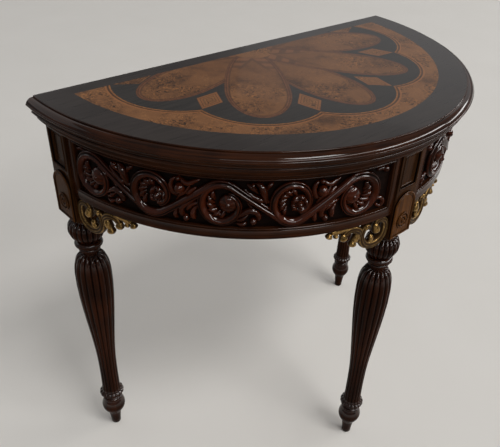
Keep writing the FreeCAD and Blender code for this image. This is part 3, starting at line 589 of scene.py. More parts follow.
def burl_colour(f, dark, middle, light, where=None):
    """Burl veneer: faint clouds, fine swirls and clusters of small dark eyes, thicker where it is told."""
    spot = f.place()
    warp = f.node("ShaderNodeTexNoise", inputs={"Vector": spot, "Scale": 26.0, "Detail": 3.0}, output="Color")
    bent = f.node(
        "ShaderNodeVectorMath", {"operation": "MULTIPLY_ADD"}, {0: warp, 1: (0.05, 0.05, 0.05), 2: spot}
    )
    cloud = f.noise(bent, 18.0, 3.0, 0.5)
    swirl = f.noise(bent, 190.0, 5.0, 0.65, 1.6)
    wood = f.mix((cloud * 0.65 + swirl * 0.35).ramp(0.3, 0.52), dark, middle)
    wood = f.mix((cloud * 0.35 + swirl * 0.65).ramp(0.5, 0.68) * 0.8, wood, light)
    cluster = f.noise(spot, 20.0, 3.0).ramp(0.43, 0.57)
    if where is not None:
        cluster = cluster * (where * 0.85 + 0.15)
    eye = f.node("ShaderNodeTexVoronoi", inputs={"Vector": bent, "Scale": 140.0, "Randomness": 1.0})
    wood = f.mix(swirl.ramp(0.52, 0.66) * cluster * 0.6, wood, tint(172, 112, 56))
    wood = f.mix(swirl.ramp(0.52, 0.38) * cluster * 0.8, wood, dark)
    return f.mix(eye.ramp(0.42, 0.2) * cluster * 0.85, wood, tint(24, 13, 8)), swirl


def veneer_finish(f, colour, relief, rough=0.3):
    """The satin lacquer that lies over the top's veneers."""
    f.bump(relief, 0.05, 0.0003)
    return f.set(Base_Color=colour, Roughness=relief * 0.1 + rough, Specular_IOR_Level=0.35, Coat_Weight=0.1)


BURL = (tint(68, 43, 24), tint(122, 81, 48), tint(150, 104, 63))
PETAL_BURL = (tint(64, 40, 23), tint(115, 76, 45), tint(142, 98, 60))
# Lines round the scallops: how far from their circles, in millimetres, and the wood.
SCALLOP_LINES = ((4.4, tint(46, 28, 18)), (7.6, tint(146, 94, 54)))


def folded(f, middle_cusp):
    """Places out and across from the nearest petal's axis, or cusp's, all folded onto one by their even turn."""
    x, y, _ = f.millimetres()
    pitch = math.radians(PETAL_PITCH)
    turn = abs(x).math("ARCTAN2", HUB_Y - y)
    first = 0.5 * pitch if middle_cusp else 0.0
    fold = turn - first
    for bound in (first + 0.5 * pitch, first + 1.5 * pitch):
        fold = fold - pitch * (turn > bound)
    distance = x.hypot(y - HUB_Y)
    return distance * fold.math("COSINE"), distance * fold.math("SINE")


def field_finish(name):
    """Burl with a dark line and a light one round the fan's scallops, by the distance from the scallop's circle."""
    f = Finish(name)
    colour, swirl = burl_colour(f, *BURL)
    out, across = folded(f, False)
    off = (out - SCALLOP_REACH).hypot(across) - SCALLOP
    for middle, shade in SCALLOP_LINES:
        line = abs(off - middle).ramp(1.2 * INLAY_LINE, 0.5 * INLAY_LINE)
        colour = f.mix(line * 0.75, colour, shade)
    return veneer_finish(f, colour, swirl)


def plain_veneer(name, first, second, stretch, rough=0.3):
    """A straight-grained veneer between two colours, its streaks stretched along one axis."""
    f = Finish(name)
    streak = f.noise(f.place(stretch), 1.0, 4.0, 0.62, 0.5)
    cloud = f.noise(f.place(), 9.0, 3.0)
    colour = f.mix((streak * 0.7 + cloud * 0.3).ramp(0.32, 0.7), first, second)
    return veneer_finish(f, colour, streak, rough)


def from_hub(f, step):
    """Places out along a petal's or cusp's axis from the fan's hub and across it, in millimetres."""
    x, y, _ = f.millimetres()
    turn = math.radians(step * PETAL_PITCH)
    out = x * math.sin(turn) - (y - HUB_Y) * math.cos(turn)
    across = x * math.cos(turn) + (y - HUB_Y) * math.sin(turn)
    return out, across


def petal_finish(name, step, banded):
    """A petal of the fan: its band or its burl panel, with dark lines where its two ellipses run.

    The place along and across the petal's axis gives the share e of the way from the waist to each ellipse, and
    a line is drawn where 1 - e over the slope of e, which is the distance from the ellipse, is small.
    """
    f = Finish(name)
    out, across = from_hub(f, step)
    along = out - PETAL_WAIST
    outer = along > 0.0

    def line(inset):
        half_long = outer * (PETAL_LENGTH - 2.0 * PETAL_WAIST) + (PETAL_WAIST - inset)
        half_wide = PETAL_HALF - inset
        reach = along / half_long
        girth = across / half_wide
        share = reach.hypot(girth)
        slope = (reach / half_long).hypot(girth / half_wide)
        off = abs(1.0 - share) * share / slope
        return off.ramp(INLAY_LINE, 0.4 * INLAY_LINE)

    if banded:
        streak = f.noise(f.place((160.0, 160.0, 160.0)), 1.0, 4.0, 0.6, 1.2)
        colour = f.mix(streak.ramp(0.35, 0.68), tint(96, 58, 37), tint(128, 83, 53))
        lines = line(0.0).math("MAXIMUM", line(0.45 * PETAL_BAND)).math("MAXIMUM", line(PETAL_BAND))
    else:
        colour, streak = burl_colour(f, *PETAL_BURL, where=along.ramp(-60.0, 20.0))
        colour = f.mix(along.ramp(-10.0, -0.7 * PETAL_WAIST) * 0.35, colour, tint(84, 50, 28))
        beside = abs(across) - (out - VEE_FROM) * VEE_SLOPE
        near = out.ramp(VEE_TO, VEE_TO - 25.0)
        light_square = (out / CHEQUER).math("FRACT").ramp(0.4, 0.55)
        chequer = f.mix(light_square, tint(62, 42, 32), tint(130, 84, 56))
        colour = f.mix(beside.ramp(2.0, 5.0) * near * 0.4, colour, chequer)
        colour = f.mix(abs(beside).ramp(4.5, 2.0) * near * 0.4, colour, tint(50, 33, 25))
        lines = line(PETAL_BAND)
    return veneer_finish(f, f.mix(lines * 0.5, colour, tint(34, 21, 14)), streak)


def nested_lines(out, across, reach):
    """Lines of a lozenge's nested outlines: its share |a| / half length + |b| / half width, in even steps."""
    share = abs(out - reach) / (0.5 * LOZENGE_LENGTH) + abs(across) / (0.5 * LOZENGE_WIDTH)
    wave = (share * 4.0).math("FRACT")
    return share, abs(wave - 0.5).ramp(0.36, 0.46)


def lozenge_finish(name):
    """The cusps' lozenges: burl with nested dark outlines, folded onto one lozenge by their even turn."""
    f = Finish(name)
    out, across = folded(f, True)
    share, lines = nested_lines(out, across, LOZENGE_REACH)
    colour, swirl = burl_colour(f, *BURL)
    colour = f.mix(share.ramp(0.45, 0.75) * 0.6, colour, tint(132, 84, 50))
    return veneer_finish(f, f.mix(lines * 0.8, colour, LOZENGE_LINE), swirl)


def fan_ground_finish(name):
    """Dark ground of the fan, with half a burl lozenge at each end of it along the back strip."""
    f = Finish(name)
    streak = f.noise(f.place((12.0, 260.0, 260.0)), 1.0, 4.0, 0.62, 0.5)
    colour = f.mix(streak.ramp(0.32, 0.7), tint(41, 37, 34), tint(55, 50, 46))
    x, y, _ = f.millimetres()
    share, lines = nested_lines(abs(x), y - HUB_Y, END_LOZENGE)
    burl, _ = burl_colour(f, *BURL)
    burl = f.mix(lines * 0.8, burl, LOZENGE_LINE)
    return veneer_finish(f, f.mix(share.ramp(1.02, 0.98), colour, burl), streak)


def apron_finish(name):
    """The apron: a near-black ground on its outer face, a dark stain made blacker as painted shade of the recess,
    and bare wood inside, told apart by the distance from the middle.
    """
    f = Finish(name)
    x, y, _ = f.millimetres()
    out = x.hypot(y - CENTRE_Y) > GROUND - 1.0
    streak = f.noise(f.place((30.0, 30.0, 500.0)), 1.0, 3.0)
    raw = f.mix(streak.ramp(0.3, 0.7), tint(112, 82, 52), tint(150, 116, 78))
    # Painted shade: the ground's stain is near black, for the shade deep in the recess behind the carving.
    stained = f.mix(streak.ramp(0.3, 0.7), tint(9, 4, 3), tint(22, 10, 6))
    f.bump(streak, 0.15, 0.0004)
    return f.set(Base_Color=f.mix(out, raw, stained), Roughness=0.75 - out * 0.15, Specular_IOR_Level=0.03)


def board_finish(name):
    """The top board: bare wood below, stained dark along its back edge."""
    f = Finish(name)
    _, y, _ = f.millimetres()
    streak = f.noise(f.place((10.0, 320.0, 320.0)), 1.0, 4.0, 0.6, 0.4)
    raw = f.mix(streak.ramp(0.3, 0.7), tint(118, 86, 55), tint(156, 120, 80))
    stained = f.mix(streak.ramp(0.3, 0.7), tint(38, 22, 15), tint(62, 35, 22))
    f.bump(streak, 0.2, 0.0005)
    back = y > BACK_Y - 1.0
    return f.set(Base_Color=f.mix(back, raw, stained), Roughness=0.7 - back * 0.3)


def raw_finish(name, stretch):
    """Bare secondary wood."""
    f = Finish(name)
    streak = f.noise(f.place(stretch), 1.0, 4.0, 0.6, 0.4)
    colour = f.mix(streak.ramp(0.3, 0.7), tint(122, 90, 58), tint(160, 124, 84))
    f.bump(streak, 0.2, 0.0005)
    return f.set(Base_Color=colour, Roughness=streak * 0.15 + 0.62)


def steel_finish(name):
    """The screws' steel, clouded by fine wear."""
    f = Finish(name)
    wear = f.noise(f.place(), 700.0, 3.0)
    colour = f.mix(wear.ramp(0.35, 0.7), tint(104, 98, 90), tint(150, 144, 136))
    return f.set(Base_Color=colour, Roughness=wear * 0.2 + 0.3, Metallic=1.0)


def floor_finish(name):
    """Pale paint with a slow drift of its shade."""
    f = Finish(name)
    drift = f.noise(f.place(), 3.0, 4.0)
    colour = f.mix(drift, tint(219, 215, 208), tint(225, 221, 215))
    return f.set(Base_Color=colour, Roughness=0.8)


# Lighter browns for the legs' blocks: painted light, a lit copy of the legs' mahogany.
LIT_BLOCK_BROWNS = (tint(61, 34, 12), tint(27, 14, 6))
LEG_WOOD = mahogany_finish("leg_mahogany", tint(51, 22, 8), tint(20, 7, 3), block=LIT_BLOCK_BROWNS)
# Painted light: the plaques and rosettes get a lighter, lit copy of the mahogany.
LIT_PLAQUE_WOOD = mahogany_finish("plaque_mahogany", tint(88, 52, 20), tint(50, 28, 11), 0.2, 0.2, upright=True)
EDGE_WOOD = mahogany_finish("edge_mahogany", tint(60, 30, 13), tint(26, 12, 6), 0.12, coat=0.6)
CARVED_WOOD = mahogany_finish("carved_mahogany", tint(70, 26, 8), tint(29, 11, 4), 0.08)
GILT = gilt_finish("old_gilding")

# Finishes of the pieces that stay as the frame has them.
kept_finishes = {
    "top_board": board_finish("board_wood"),
    "left_apron": apron_finish("apron_wood"),
    "back_rail": raw_finish("rail_wood", (10.0, 320.0, 320.0)),
    "centre_bearer": raw_finish("bearer_wood", (320.0, 10.0, 320.0)),
    "left_front_glue_block": raw_finish("block_wood", (320.0, 320.0, 12.0)),
    "top_screws": steel_finish("screw_steel"),
    "hub_veneer": field_finish("hub_burl"),
    "fan_ground_veneer": fan_ground_finish("fan_ground"),
    "fan_stringing": plain_veneer("stringing_wood", tint(112, 68, 36), tint(156, 104, 56), (160.0, 160.0, 160.0)),
    "burl_field_veneer": field_finish("field_burl"),
    "border_veneer": plain_veneer("border_wood", tint(42, 36, 33), tint(57, 50, 46), (14.0, 260.0, 260.0), 0.24),
    "lozenge_bands": lozenge_finish("lozenge_banding"),
    "lozenge_panels": lozenge_finish("lozenge_burl"),
}
kept_finishes["right_apron"] = kept_finishes["left_apron"]
for block in ("right_front_glue_block", "left_back_glue_block", "right_back_glue_block",
              "left_corner_block", "right_corner_block"):
    kept_finishes[block] = kept_finishes["left_front_glue_block"]
for number in range(1, 6):
    kept_finishes[f"petal_{number}_band"] = petal_finish(f"petal_{number}_banding", number - 3, True)
    kept_finishes[f"petal_{number}_panel"] = petal_finish(f"petal_{number}_burl", number - 3, False)
for node, finish in kept_finishes.items():
    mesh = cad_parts[node].data
    mesh.materials.clear()
    mesh.materials.append(finish)


# Mouldings round the top.

def round_moulding(corners, columns=260):
    """A moulding that follows the half-round and is cut off by the back plane.

    Each point of the profile turns about the curve's middle from one meeting with the back plane to the other,
    so its angle runs to 90 degrees and the arcsine of the set-back over its radius.
    """
    line = profile(corners)
    reach = 0.5 * math.pi + np.arcsin((BACK_Y - CENTRE_Y) / line[:, 0])
    turn = np.linspace(-1.0, 1.0, columns)[None, :] * reach[:, None]
    points = on_curve(line[:, :1], turn, np.broadcast_to(line[:, 1:], turn.shape))
    return sheet(points, wrap=(True, False), grain_rows=False)


# Profiles of the top's edge and of the bed moulding under it: how far in from the outermost edge, how far down from
# the top or up from the base, and the bulge of the arc that leads on.
EDGE_UPPER = ((16.0, 0.0), (15.7, 0.0, -0.2), (14.3, 1.4), (14.3, 2.6), (13.3, 2.4, -0.17))
EDGE_LOWER = ((1.4, 11.6, -0.3), (1.4, 7.8), (2.0, 7.4, 0.16), (6.4, 1.6), (6.4, 0.2), (16.0, 0.2))
BED_LOWER = (
    (22.0, 0.0), (13.5, 0.0), (13.5, 1.6), (13.0, 1.8, 0.28), (8.2, 6.8), (6.8, 7.0), (6.8, 8.6), (6.4, 8.8, -0.2),
    (1.4, 16.6), (0.4, 16.8, 0.25), (0.4, 20.4), (1.6, 20.8),
)
BED_UPPER = ((1.6, 0.0), (22.0, 0.0))


def corners_from(steps, edge, level, way):
    """Corners of a profile from steps in from an edge and up, or down, from a level."""
    return [(edge - back, level + way * off, *bulge) for back, off, *bulge in steps]


edge_corners = corners_from(EDGE_UPPER, EDGE, TOP, -1.0) + corners_from(EDGE_LOWER, EDGE, BOARD_BASE, 1.0)
piece("moulded_edge", [round_moulding(edge_corners)], EDGE_WOOD, ["top_edge_lipping"], sharp=32)
bed_corners = corners_from(BED_LOWER, bed_high[0], bed_low[2], 1.0)
bed_corners += corners_from(BED_UPPER, bed_high[0], BOARD_BASE, 1.0)
piece("bed_band", [round_moulding(bed_corners)], EDGE_WOOD, ["bed_moulding"], sharp=32)


# Frame of rails and stiles round each frieze.

RECESS_LOW = APRON_BASE + BOTTOM_RAIL
RECESS_HIGH = APRON_TOP - TOP_RAIL
RECESS_MID = 0.5 * (RECESS_LOW + RECESS_HIGH)


def rail_frame():
    """The left frame: nested loops of back stile, bottom rail, front stile and top rail on the apron's curve.

    Each station of the profile is one loop at its own distance from the frame's outer and inner edges and at its
    own radius, and its corners are mitred because every side is inset by its own width.
    """
    rise = FACE - GROUND
    stations = [(0.0, None, -0.5), (0.0, None, rise - 0.8), (0.5, None, rise - 0.2), (1.2, None, rise)]
    stations += [(None, BEAD + 1.2, rise), (None, BEAD + 0.9, rise - 0.3), (None, BEAD + 0.5, rise - 1.6)]
    turn = np.linspace(0.0, math.pi, 11)
    bead = 0.5 * BEAD
    stations += [(None, bead + bead * c, rise - 2.0 + 1.25 * bead * s) for c, s in zip(np.cos(turn), np.sin(turn))]
    stations += [(None, 0.0, rise - 3.4), (None, 0.0, -0.5)]
    steps = np.arange(RAIL_STEPS) / RAIL_STEPS
    rises = np.arange(STILE_STEPS) / STILE_STEPS
    loops = []
    for from_outside, from_inside, up in stations:
        inset = [
            from_outside if from_inside is None else width - from_inside
            for width in (STILE, BOTTOM_RAIL, STILE, TOP_RAIL)
        ]
        radius = GROUND + up
        back = -0.5 * math.pi + math.asin((JOINT_SET + inset[0]) / radius)
        front = -math.asin((BLOCK_HALF + inset[2]) / radius)
        low = APRON_BASE + inset[1]
        high = APRON_TOP - inset[3]
        angle = [back + (front - back) * steps, np.full(STILE_STEPS, front),
                 front + (back - front) * steps, np.full(STILE_STEPS, back)]
        height = [np.full(RAIL_STEPS, low), low + (high - low) * rises,
                  np.full(RAIL_STEPS, high), high + (low - high) * rises]
        loops.append(on_curve(radius, np.concatenate(angle), np.concatenate(height)))
    return sheet(np.array(loops), wrap=(True, True), caps=False, grain_rows=False)


pair("{}_frieze_rails", [rail_frame()], EDGE_WOOD, "{}_frieze_frame", sharp=35)


# Legs.

def lobes(angle, count, roundness=0.9):
    """How far out a carved lobe stands round a turning: 1 on its crest, 0 in the groove, a round arc between."""
    across = 2.0 * ((angle * count / TAU + 0.5) % 1.0) - 1.0
    return 1.0 - (1.0 - np.sqrt(1.0 - roundness * across ** 2)) / (1.0 - math.sqrt(1.0 - roundness))


def leg_turning():
    """The turned part of a leg: its profile turned about the leg's axis, with reeds and gadroons.

    At each station the radius is the profile's radius times 1 - depth * (1 - lobe), where the lobe is that of the
    reeds on the shaft and its lower ring and that of the gadroons on the bulb. The ends of the reeds and gadroons
    are rounded: their stations also move down, or up, in the grooves.
    """
    foot = profile([(r * FOOT_RADIUS, z * FOOT_HEIGHT, *b) for r, z, *b in FOOT_SHARES], 16)
    share, spread = smooth_through(SHAFT_SHARES, SHAFT_STATIONS)
    shaft = np.stack([spread * SHAFT_RADIUS, FOOT_HEIGHT + share * (SHAFT_TOP - FOOT_HEIGHT)], -1)
    collar = profile([(r * COLLAR_RADIUS, SHAFT_TOP + z * COLLAR_HEIGHT, *b) for r, z, *b in COLLAR_SHARES], 12)
    share_up, girth = smooth_through(BULB_SHARES, BULB_STATIONS)
    bulb = np.stack([girth * BULB_RADIUS, BULB_BASE + share_up * BULB_HEIGHT], -1)
    neck = np.array([[NECK_RADIUS, BULB_TOP], [NECK_RADIUS, BLOCK_BASE + 0.5]])
    lines = (foot, shaft[1:], collar, bulb, neck)

    def along(*values):
        return np.concatenate([np.broadcast_to(value, len(line)) for value, line in zip(values, lines)])[:, None]

    ring = np.clip((foot[:, 1] - 0.85 * FOOT_HEIGHT) / (0.1 * FOOT_HEIGHT), 0.0, 1.0)
    reed = along(ring * REED_DEPTH_SHARE, REED_DEPTH_SHARE, 0.0, 0.0, 0.0)
    gadroon = along(0.0, 0.0, 0.0, GADROON_DEPTH_SHARE, 0.0)
    reed_end = np.clip((share[1:] - 0.93) / 0.07, 0.0, 1.0)
    gadroon_end = np.clip((share_up - 0.8) / 0.2, 0.0, 1.0) - np.clip((0.2 - share_up) / 0.2, 0.0, 1.0)
    slip = along(0.0, REED_SLIP * reed_end, 0.0, GADROON_SLIP * gadroon_end, 0.0)
    angle = circle(TURNED_COLUMNS)
    lobe = np.where(gadroon > 0.0, lobes(angle, GADROONS), lobes(angle, REEDS))
    depth = reed + gadroon
    line = np.concatenate(lines)
    radius = line[:, :1] * (1.0 - depth * (1.0 - lobe))
    height = line[:, 1:] - slip * (1.0 - lobe)
    # Painted shade: hollow darkens the grooves between the reeds and between the gadroons.
    hollow = np.where(depth > 0.0, (1.0 - lobe) ** 2, 0.0)
    return sheet(np.stack([radius * np.cos(angle), radius * np.sin(angle), height], -1), hollow=hollow)


def panel_depth(inside):
    """Depth of the block's face at a distance inside the panel's edge: a bead, then a moulded step down."""
    bead = 1.1 * np.sin(np.clip((inside + 3.4) / 2.8, 0.0, 1.0) * math.pi)
    step = np.clip((inside + 0.4) / 0.8, 0.0, 1.0) * 0.55 * PANEL_DEPTH
    return step + eased((inside - 0.6) / 3.0) * 0.45 * PANEL_DEPTH - bead


def leg_block():
    """The square block: level loops of a square with rounded corners, canted in at the foot.

    On the carved face the loops are pushed in by the depth that the distance inside the panel's edge gives.
    """
    panel_high = APRON_TOP - PANEL_MARGIN
    panel_low = panel_high - PANEL_HEIGHT
    levels = np.concatenate([
        [BLOCK_BASE, BLOCK_BASE + 0.5, BLOCK_BASE + BLOCK_CANT - 0.8, BLOCK_BASE + BLOCK_CANT,
         BLOCK_BASE + BLOCK_CANT + 1.0], np.linspace(BLOCK_BASE + BLOCK_CANT + 6.0, panel_low - 6.0, 6),
        panel_low + PANEL_STEPS, np.linspace(panel_low + 6.0, panel_high - 6.0, 8),
        panel_high - PANEL_STEPS[::-1], [APRON_TOP - 2.5, APRON_TOP],
    ])
    half = np.interp(levels, [BLOCK_BASE, BLOCK_BASE + BLOCK_CANT, APRON_TOP],
                     [BLOCK_HALF - BLOCK_CANT, BLOCK_HALF, BLOCK_HALF])
    flat = BLOCK_HALF - ARRIS
    front = np.concatenate([
        [-flat], -PANEL_HALF + PANEL_STEPS, np.linspace(-PANEL_HALF + 6.0, PANEL_HALF - 6.0, 7),
        PANEL_HALF - PANEL_STEPS[::-1], [flat],
    ])
    side = np.linspace(-flat, flat, 9)
    bend = np.linspace(0.0, 0.5 * math.pi, 5)[1:-1]
    corner = np.stack([flat + ARRIS * np.sin(bend), -flat - ARRIS * np.cos(bend)], -1)
    quarter = np.array([[0.0, 1.0], [-1.0, 0.0]])
    edges = [np.stack([front, np.full(len(front), -BLOCK_HALF)], -1), corner]
    plain = np.concatenate([np.stack([side, np.full(len(side), -BLOCK_HALF)], -1), corner])
    edges += [plain @ np.linalg.matrix_power(quarter, turn) for turn in (1, 2, 3)]
    loop = np.concatenate(edges)
    scale = (half / BLOCK_HALF)[:, None]
    x = loop[:, 0] * scale
    y = loop[:, 1] * scale
    z = np.broadcast_to(levels[:, None], x.shape)
    inside = np.minimum(PANEL_HALF - np.abs(x), np.minimum(z - panel_low, panel_high - z))
    on_face = (loop[:, 1] < -BLOCK_HALF + 0.01)[None, :]
    depth = np.where(on_face, panel_depth(inside), 0.0)
    # Painted shade: hollow darkens a narrow line along the panel's moulded step.
    hollow = np.where(on_face, np.clip(1.0 - np.abs(inside - 0.2) / 1.2, 0.0, 1.0), 0.0)
    return sheet(np.stack([x, y + depth, z], -1), hollow=hollow)


# Relief of the plaque: how far in from its outline, and how high.
PLAQUE_RELIEF = (
    (0.0, 0.0), (0.0, 2.6), (0.3, 3.0), (0.9, 3.9), (1.6, 4.2), (2.3, 3.9), (2.8, 3.1), (3.1, 2.6), (3.4, 3.0),
    (3.9, 3.6), (4.4, 3.5), (4.9, 2.6), (5.2, 2.3), (6.0, 2.3), (12.0, 2.5), (19.0, 2.5),
)


def plaque():
    """The arched plaque: its outline drawn in towards its middle step by step, with a double bead round its edge."""
    low = BLOCK_BASE + PLAQUE_FOOT
    high = low + PLAQUE_SIDE
    outline = profile([
        (-PLAQUE_HALF, low), (PLAQUE_HALF, low), (PLAQUE_HALF, high, PLAQUE_RISE / (2.0 * PLAQUE_HALF)),
        (-PLAQUE_HALF, high), (-PLAQUE_HALF, low),
    ], 60)
    x, z = evenly(outline, PLAQUE_POINTS + 1)[:-1].T
    inset, rise = np.array(PLAQUE_RELIEF).T[:, :, None]
    middle = 0.5 * (low + high)
    x = x * (1.0 - inset / PLAQUE_HALF)
    z = middle + (z - middle) * (1.0 - inset / (0.5 * (PLAQUE_SIDE + PLAQUE_RISE)))
    # Painted shade: hollow darkens the outer foot, the groove between the beads and the step inside them, not the
    # flat middle.
    hollow = np.where(rise > 2.7, 0.0, 0.8)
    hollow[-3:] = 0.0
    return sheet(np.stack([x, np.broadcast_to(-BLOCK_HALF - rise, x.shape), z], -1), hollow=hollow)


def rosette():
    """The rosette: rings about its middle whose height is a rim bead, a folded inner ring and a button."""
    share = np.linspace(1.0, 0.04, ROSETTE_RINGS)[:, None]
    angle = circle(ROSETTE_COLUMNS)
    rim = 2.6 * arch((share - 0.89) / 0.1)
    ring = (2.1 + 0.7 * np.abs(np.cos(4.0 * angle))) * arch((share - 0.52) / 0.18)
    button = np.maximum(3.2 * arch(share / 0.24), 0.1)
    rise = np.maximum(np.maximum(rim, ring), button)
    rise[0] = -0.6
    radius = share * ROSETTE_RADIUS
    height = BLOCK_BASE + ROSETTE_UP + radius * np.sin(angle)
    points = np.stack([radius * np.cos(angle), -BLOCK_HALF - ROSETTE_SET - rise, height], -1)
    # Painted shade: hollow darkens the rosette where it is low, between the rim, the ring and the button.
    return sheet(points, hollow=np.clip(1.0 - rise / 2.2, 0.0, 1.0))


turning = leg_turning()
block = leg_block()
shield = plaque()
flower = rosette()
for side, turn in (("left", -90.0), ("front", 0.0), ("right", 90.0)):
    low, high = node_box(f"{side}_leg")
    stand = (*(0.5 * (low + high))[:2], 0.0)
    turned_leg = [moved(part, turn, stand) for part in (turning, block)]
    piece(f"{side}_carved_leg", turned_leg, LEG_WOOD, [f"{side}_leg"], sharp=48)
    piece(f"{side}_plaque", [moved(shield, turn, stand)], LIT_PLAQUE_WOOD, [f"{side}_leg_plaque"], sharp=50)
    piece(f"{side}_rosette", [moved(flower, turn, stand)], LIT_PLAQUE_WOOD, [f"{side}_leg_rosette"])


# Carving.

def trail(start, heading, bends, count):
    """Evenly spaced points of a line that sets off at a heading and follows bends in turn.

    A bend is (turn in degrees, radius it starts with, radius it ends with), the radius changing by a constant
    factor; a straight is (0, length). The places are sums of short steps along the heading.
    """
    ways = []
    strides = []
    facing = math.radians(heading)
    share = (np.arange(BEND_STEPS) + 0.5) / BEND_STEPS
    for turn, *sizes in bends:
        angle = math.radians(turn)
        ways.append(facing + angle * share)
        strides.append(sizes[0] * (sizes[-1] / sizes[0]) ** share * (abs(angle) or 1.0) / BEND_STEPS)
        facing += angle
    way = np.concatenate(ways)
    steps = np.stack([np.cos(way), np.sin(way)], -1) * np.concatenate(strides)[:, None]
    return evenly(np.concatenate([[start], start + np.cumsum(steps, axis=0)]), count)


def rounded_ends(count, first, last):
    """A share along a stem that is 1 in its length and falls round to nearly 0 over the first and last shares."""
    t = np.linspace(0.0, 1.0, count)
    head = arch(np.clip(1.0 - t / first, 0.0, 1.0))
    tail = arch(np.clip(1.0 - (1.0 - t) / last, 0.0, 1.0))
    return np.maximum(head * tail, THINNEST)


def drawn(knots, count):
    """A smooth line through knots, cut into evenly spaced points: cubic pieces over the length of the chords."""
    knots = np.array(knots, float)
    at = lengths(knots)
    line = [smooth_through(np.stack([at, knots[:, axis]], -1), 8 * count)[1] for axis in (0, 1)]
    return evenly(np.stack(line, -1), count)


def stem(line, width, rise, lay, base=SUNK, ridges=3, groove=0.3, under=0.25, around=AROUND, dull=0.0):
    """A carved stem along a line in the carving's plane, with rounded ridges along its back.

    Round each station the place across is width * cos(a) and the height rise * sin(a), lowered in the grooves
    between the ridges by groove * (1 - cos(ridges * pi * cos(a))) / 2; the lower half is flatter. Two ridges are a
    broad band and a narrow rim on its right, with a groove of bell shape between them. The lay puts plane places
    and heights onto the table, and dull is the least darkness of its hollows.
    """
    way = np.gradient(line, axis=0)
    way /= np.linalg.norm(way, axis=1, keepdims=True)
    angle = circle(around)
    over = np.cos(angle)
    up = np.sin(angle)
    dip = 0.5 * (1.0 - np.cos(ridges * math.pi * over)) if ridges > 1 else np.zeros(around)
    if ridges == 2:
        dip = np.exp(-((over + RIM_GROOVE) / GROOVE_WIDTH) ** 2) + BAND_SLOPE * np.clip(over, 0.0, 1.0)
    shape = np.where(up > 0.0, np.abs(up) ** 0.8 * (1.0 - groove * dip), under * up)
    u = line[:, :1] - way[:, 1:] * width[:, None] * over
    v = line[:, 1:] + way[:, :1] * width[:, None] * over
    h = base + rise[:, None] * shape
    # Painted shade: hollow is high in the grooves, on the low sides and under the stem; there the carved wood takes
    # painted shade and the gilding its dark patina.
    low = 1.0 - np.sqrt(np.abs(up))
    hollow = np.maximum(np.where(up > 0.05, np.maximum(0.9 * dip, low), 1.0), dull)
    return sheet(lay(u, v, h), hollow=hollow)


def bud(place, radius, rise, lay, petals=0):
    """A round bud: rings about its middle that rise as a dome, folded into petals round a button if it has them."""
    share = np.linspace(1.0, 0.05, BUD_RINGS)[:, None]
    angle = circle(BUD_COLUMNS)
    dome = arch(share) * np.ones(BUD_COLUMNS)
    if petals:
        fold = np.abs(np.cos(0.5 * petals * angle))
        ring = np.sin(np.clip((share - 0.35) / 0.65, 0.0, 1.0) * math.pi) ** 0.7
        dome = np.maximum(np.maximum(ring * (0.5 + 0.4 * fold), 1.05 * arch(share / 0.45)), 0.12)
    dome[0] = -0.2
    u = place[0] + radius * share * np.cos(angle)
    v = place[1] + radius * share * np.sin(angle)
    # Painted shade: hollow darkens the bud towards its foot, where the dome is low.
    return sheet(lay(u, v, SUNK + rise * dome), hollow=np.clip(1.0 - 1.6 * dome, 0.0, 1.0))


FRIEZE_FROM = -0.5 * math.pi + math.asin((JOINT_SET + STILE) / GROUND)
FRIEZE_TO = -math.asin((BLOCK_HALF + STILE) / GROUND)
FRIEZE_LENGTH = (FRIEZE_TO - FRIEZE_FROM) * GROUND
SCROLL_PITCH = (FRIEZE_LENGTH - FIRST_SCROLL - LAST_SCROLL) / (SCROLLS - 1)
SCROLL_SPACING = SCROLL_PITCH / SQUEEZE


def frieze_lay(hand=1.0, lift=1.0, middle=0.0, squeeze=SQUEEZE, outer=SQUEEZE):
    """How a place in a scroll's own plane goes onto the curved ground: the arc length gives the angle.

    The hand turns the plane left for right, the lift upside down, and middle is the scroll's place along it. The
    squeeze makes a scroll a little narrower than high on the side of its link, and outer on its other side.
    """
    def lay(u, v, h):
        angle = FRIEZE_FROM + (middle + hand * np.where(u > 0.0, squeeze, outer) * u) / GROUND
        return on_curve(GROUND + h, angle, RECESS_MID + lift * v)
    return lay


def swelling(count, first, most, last, peak=0.5):
    """A width that goes smoothly from the first value to the most at the peak and on to the last."""
    t = np.linspace(0.0, 1.0, count)
    return first + (most - first) * eased(t / peak) + (last - most) * eased((t - peak) / (1.0 - peak))


def leaf(knots, halves, lay, peak=0.6):
    """A small leaf or stalk through knots, its first, most and last half widths in shares of a scroll's radius."""
    size = SCROLL * swelling(LEAF_POINTS, *halves, peak) * rounded_ends(LEAF_POINTS, 0.15, 0.2)
    return stem(drawn(knots, LEAF_POINTS), size, LEAF_STEEP * size, lay, ridges=1, around=FINE_AROUND)


# Leaves between two scrolls as shares of a scroll's radius, from the scroll that stands with its crest up: knots
# and half widths of leaves, then places and radii of buds. Two sets take turns along the vine.
HOOK_LEAVES = (
    (((0.5, -0.62), (0.84, -0.62), (1.14, -0.42), (1.44, -0.3), (1.72, -0.42), (1.85, -0.68), (1.72, -0.94)),
     (0.1, 0.18, 0.14)),
    (((0.6, -0.84), (0.9, -0.86), (1.18, -0.68), (1.36, -0.56)), (0.06, 0.12, 0.06)),
    (((0.7, -1.06), (1.0, -1.1), (1.28, -0.98)), (0.06, 0.12, 0.07)),
    (((1.02, 0.78), (1.4, 0.5), (1.78, 0.28), (2.08, 0.2)), (0.06, 0.14, 0.2)),
    (((2.2, -0.02), (2.1, 0.4), (2.0, 0.74), (1.82, 1.0), (1.58, 1.06)), (0.12, 0.2, 0.11)),
    (((1.78, 0.5), (1.62, 0.74), (1.4, 0.9), (1.16, 1.04)), (0.07, 0.14, 0.08)),
    (((2.16, 0.7), (2.28, 0.96), (2.52, 1.1)), (0.07, 0.13, 0.07)),
)
HOOK_BUDS = (((1.56, -0.88), 0.21), ((1.5, 0.98), 0.14))
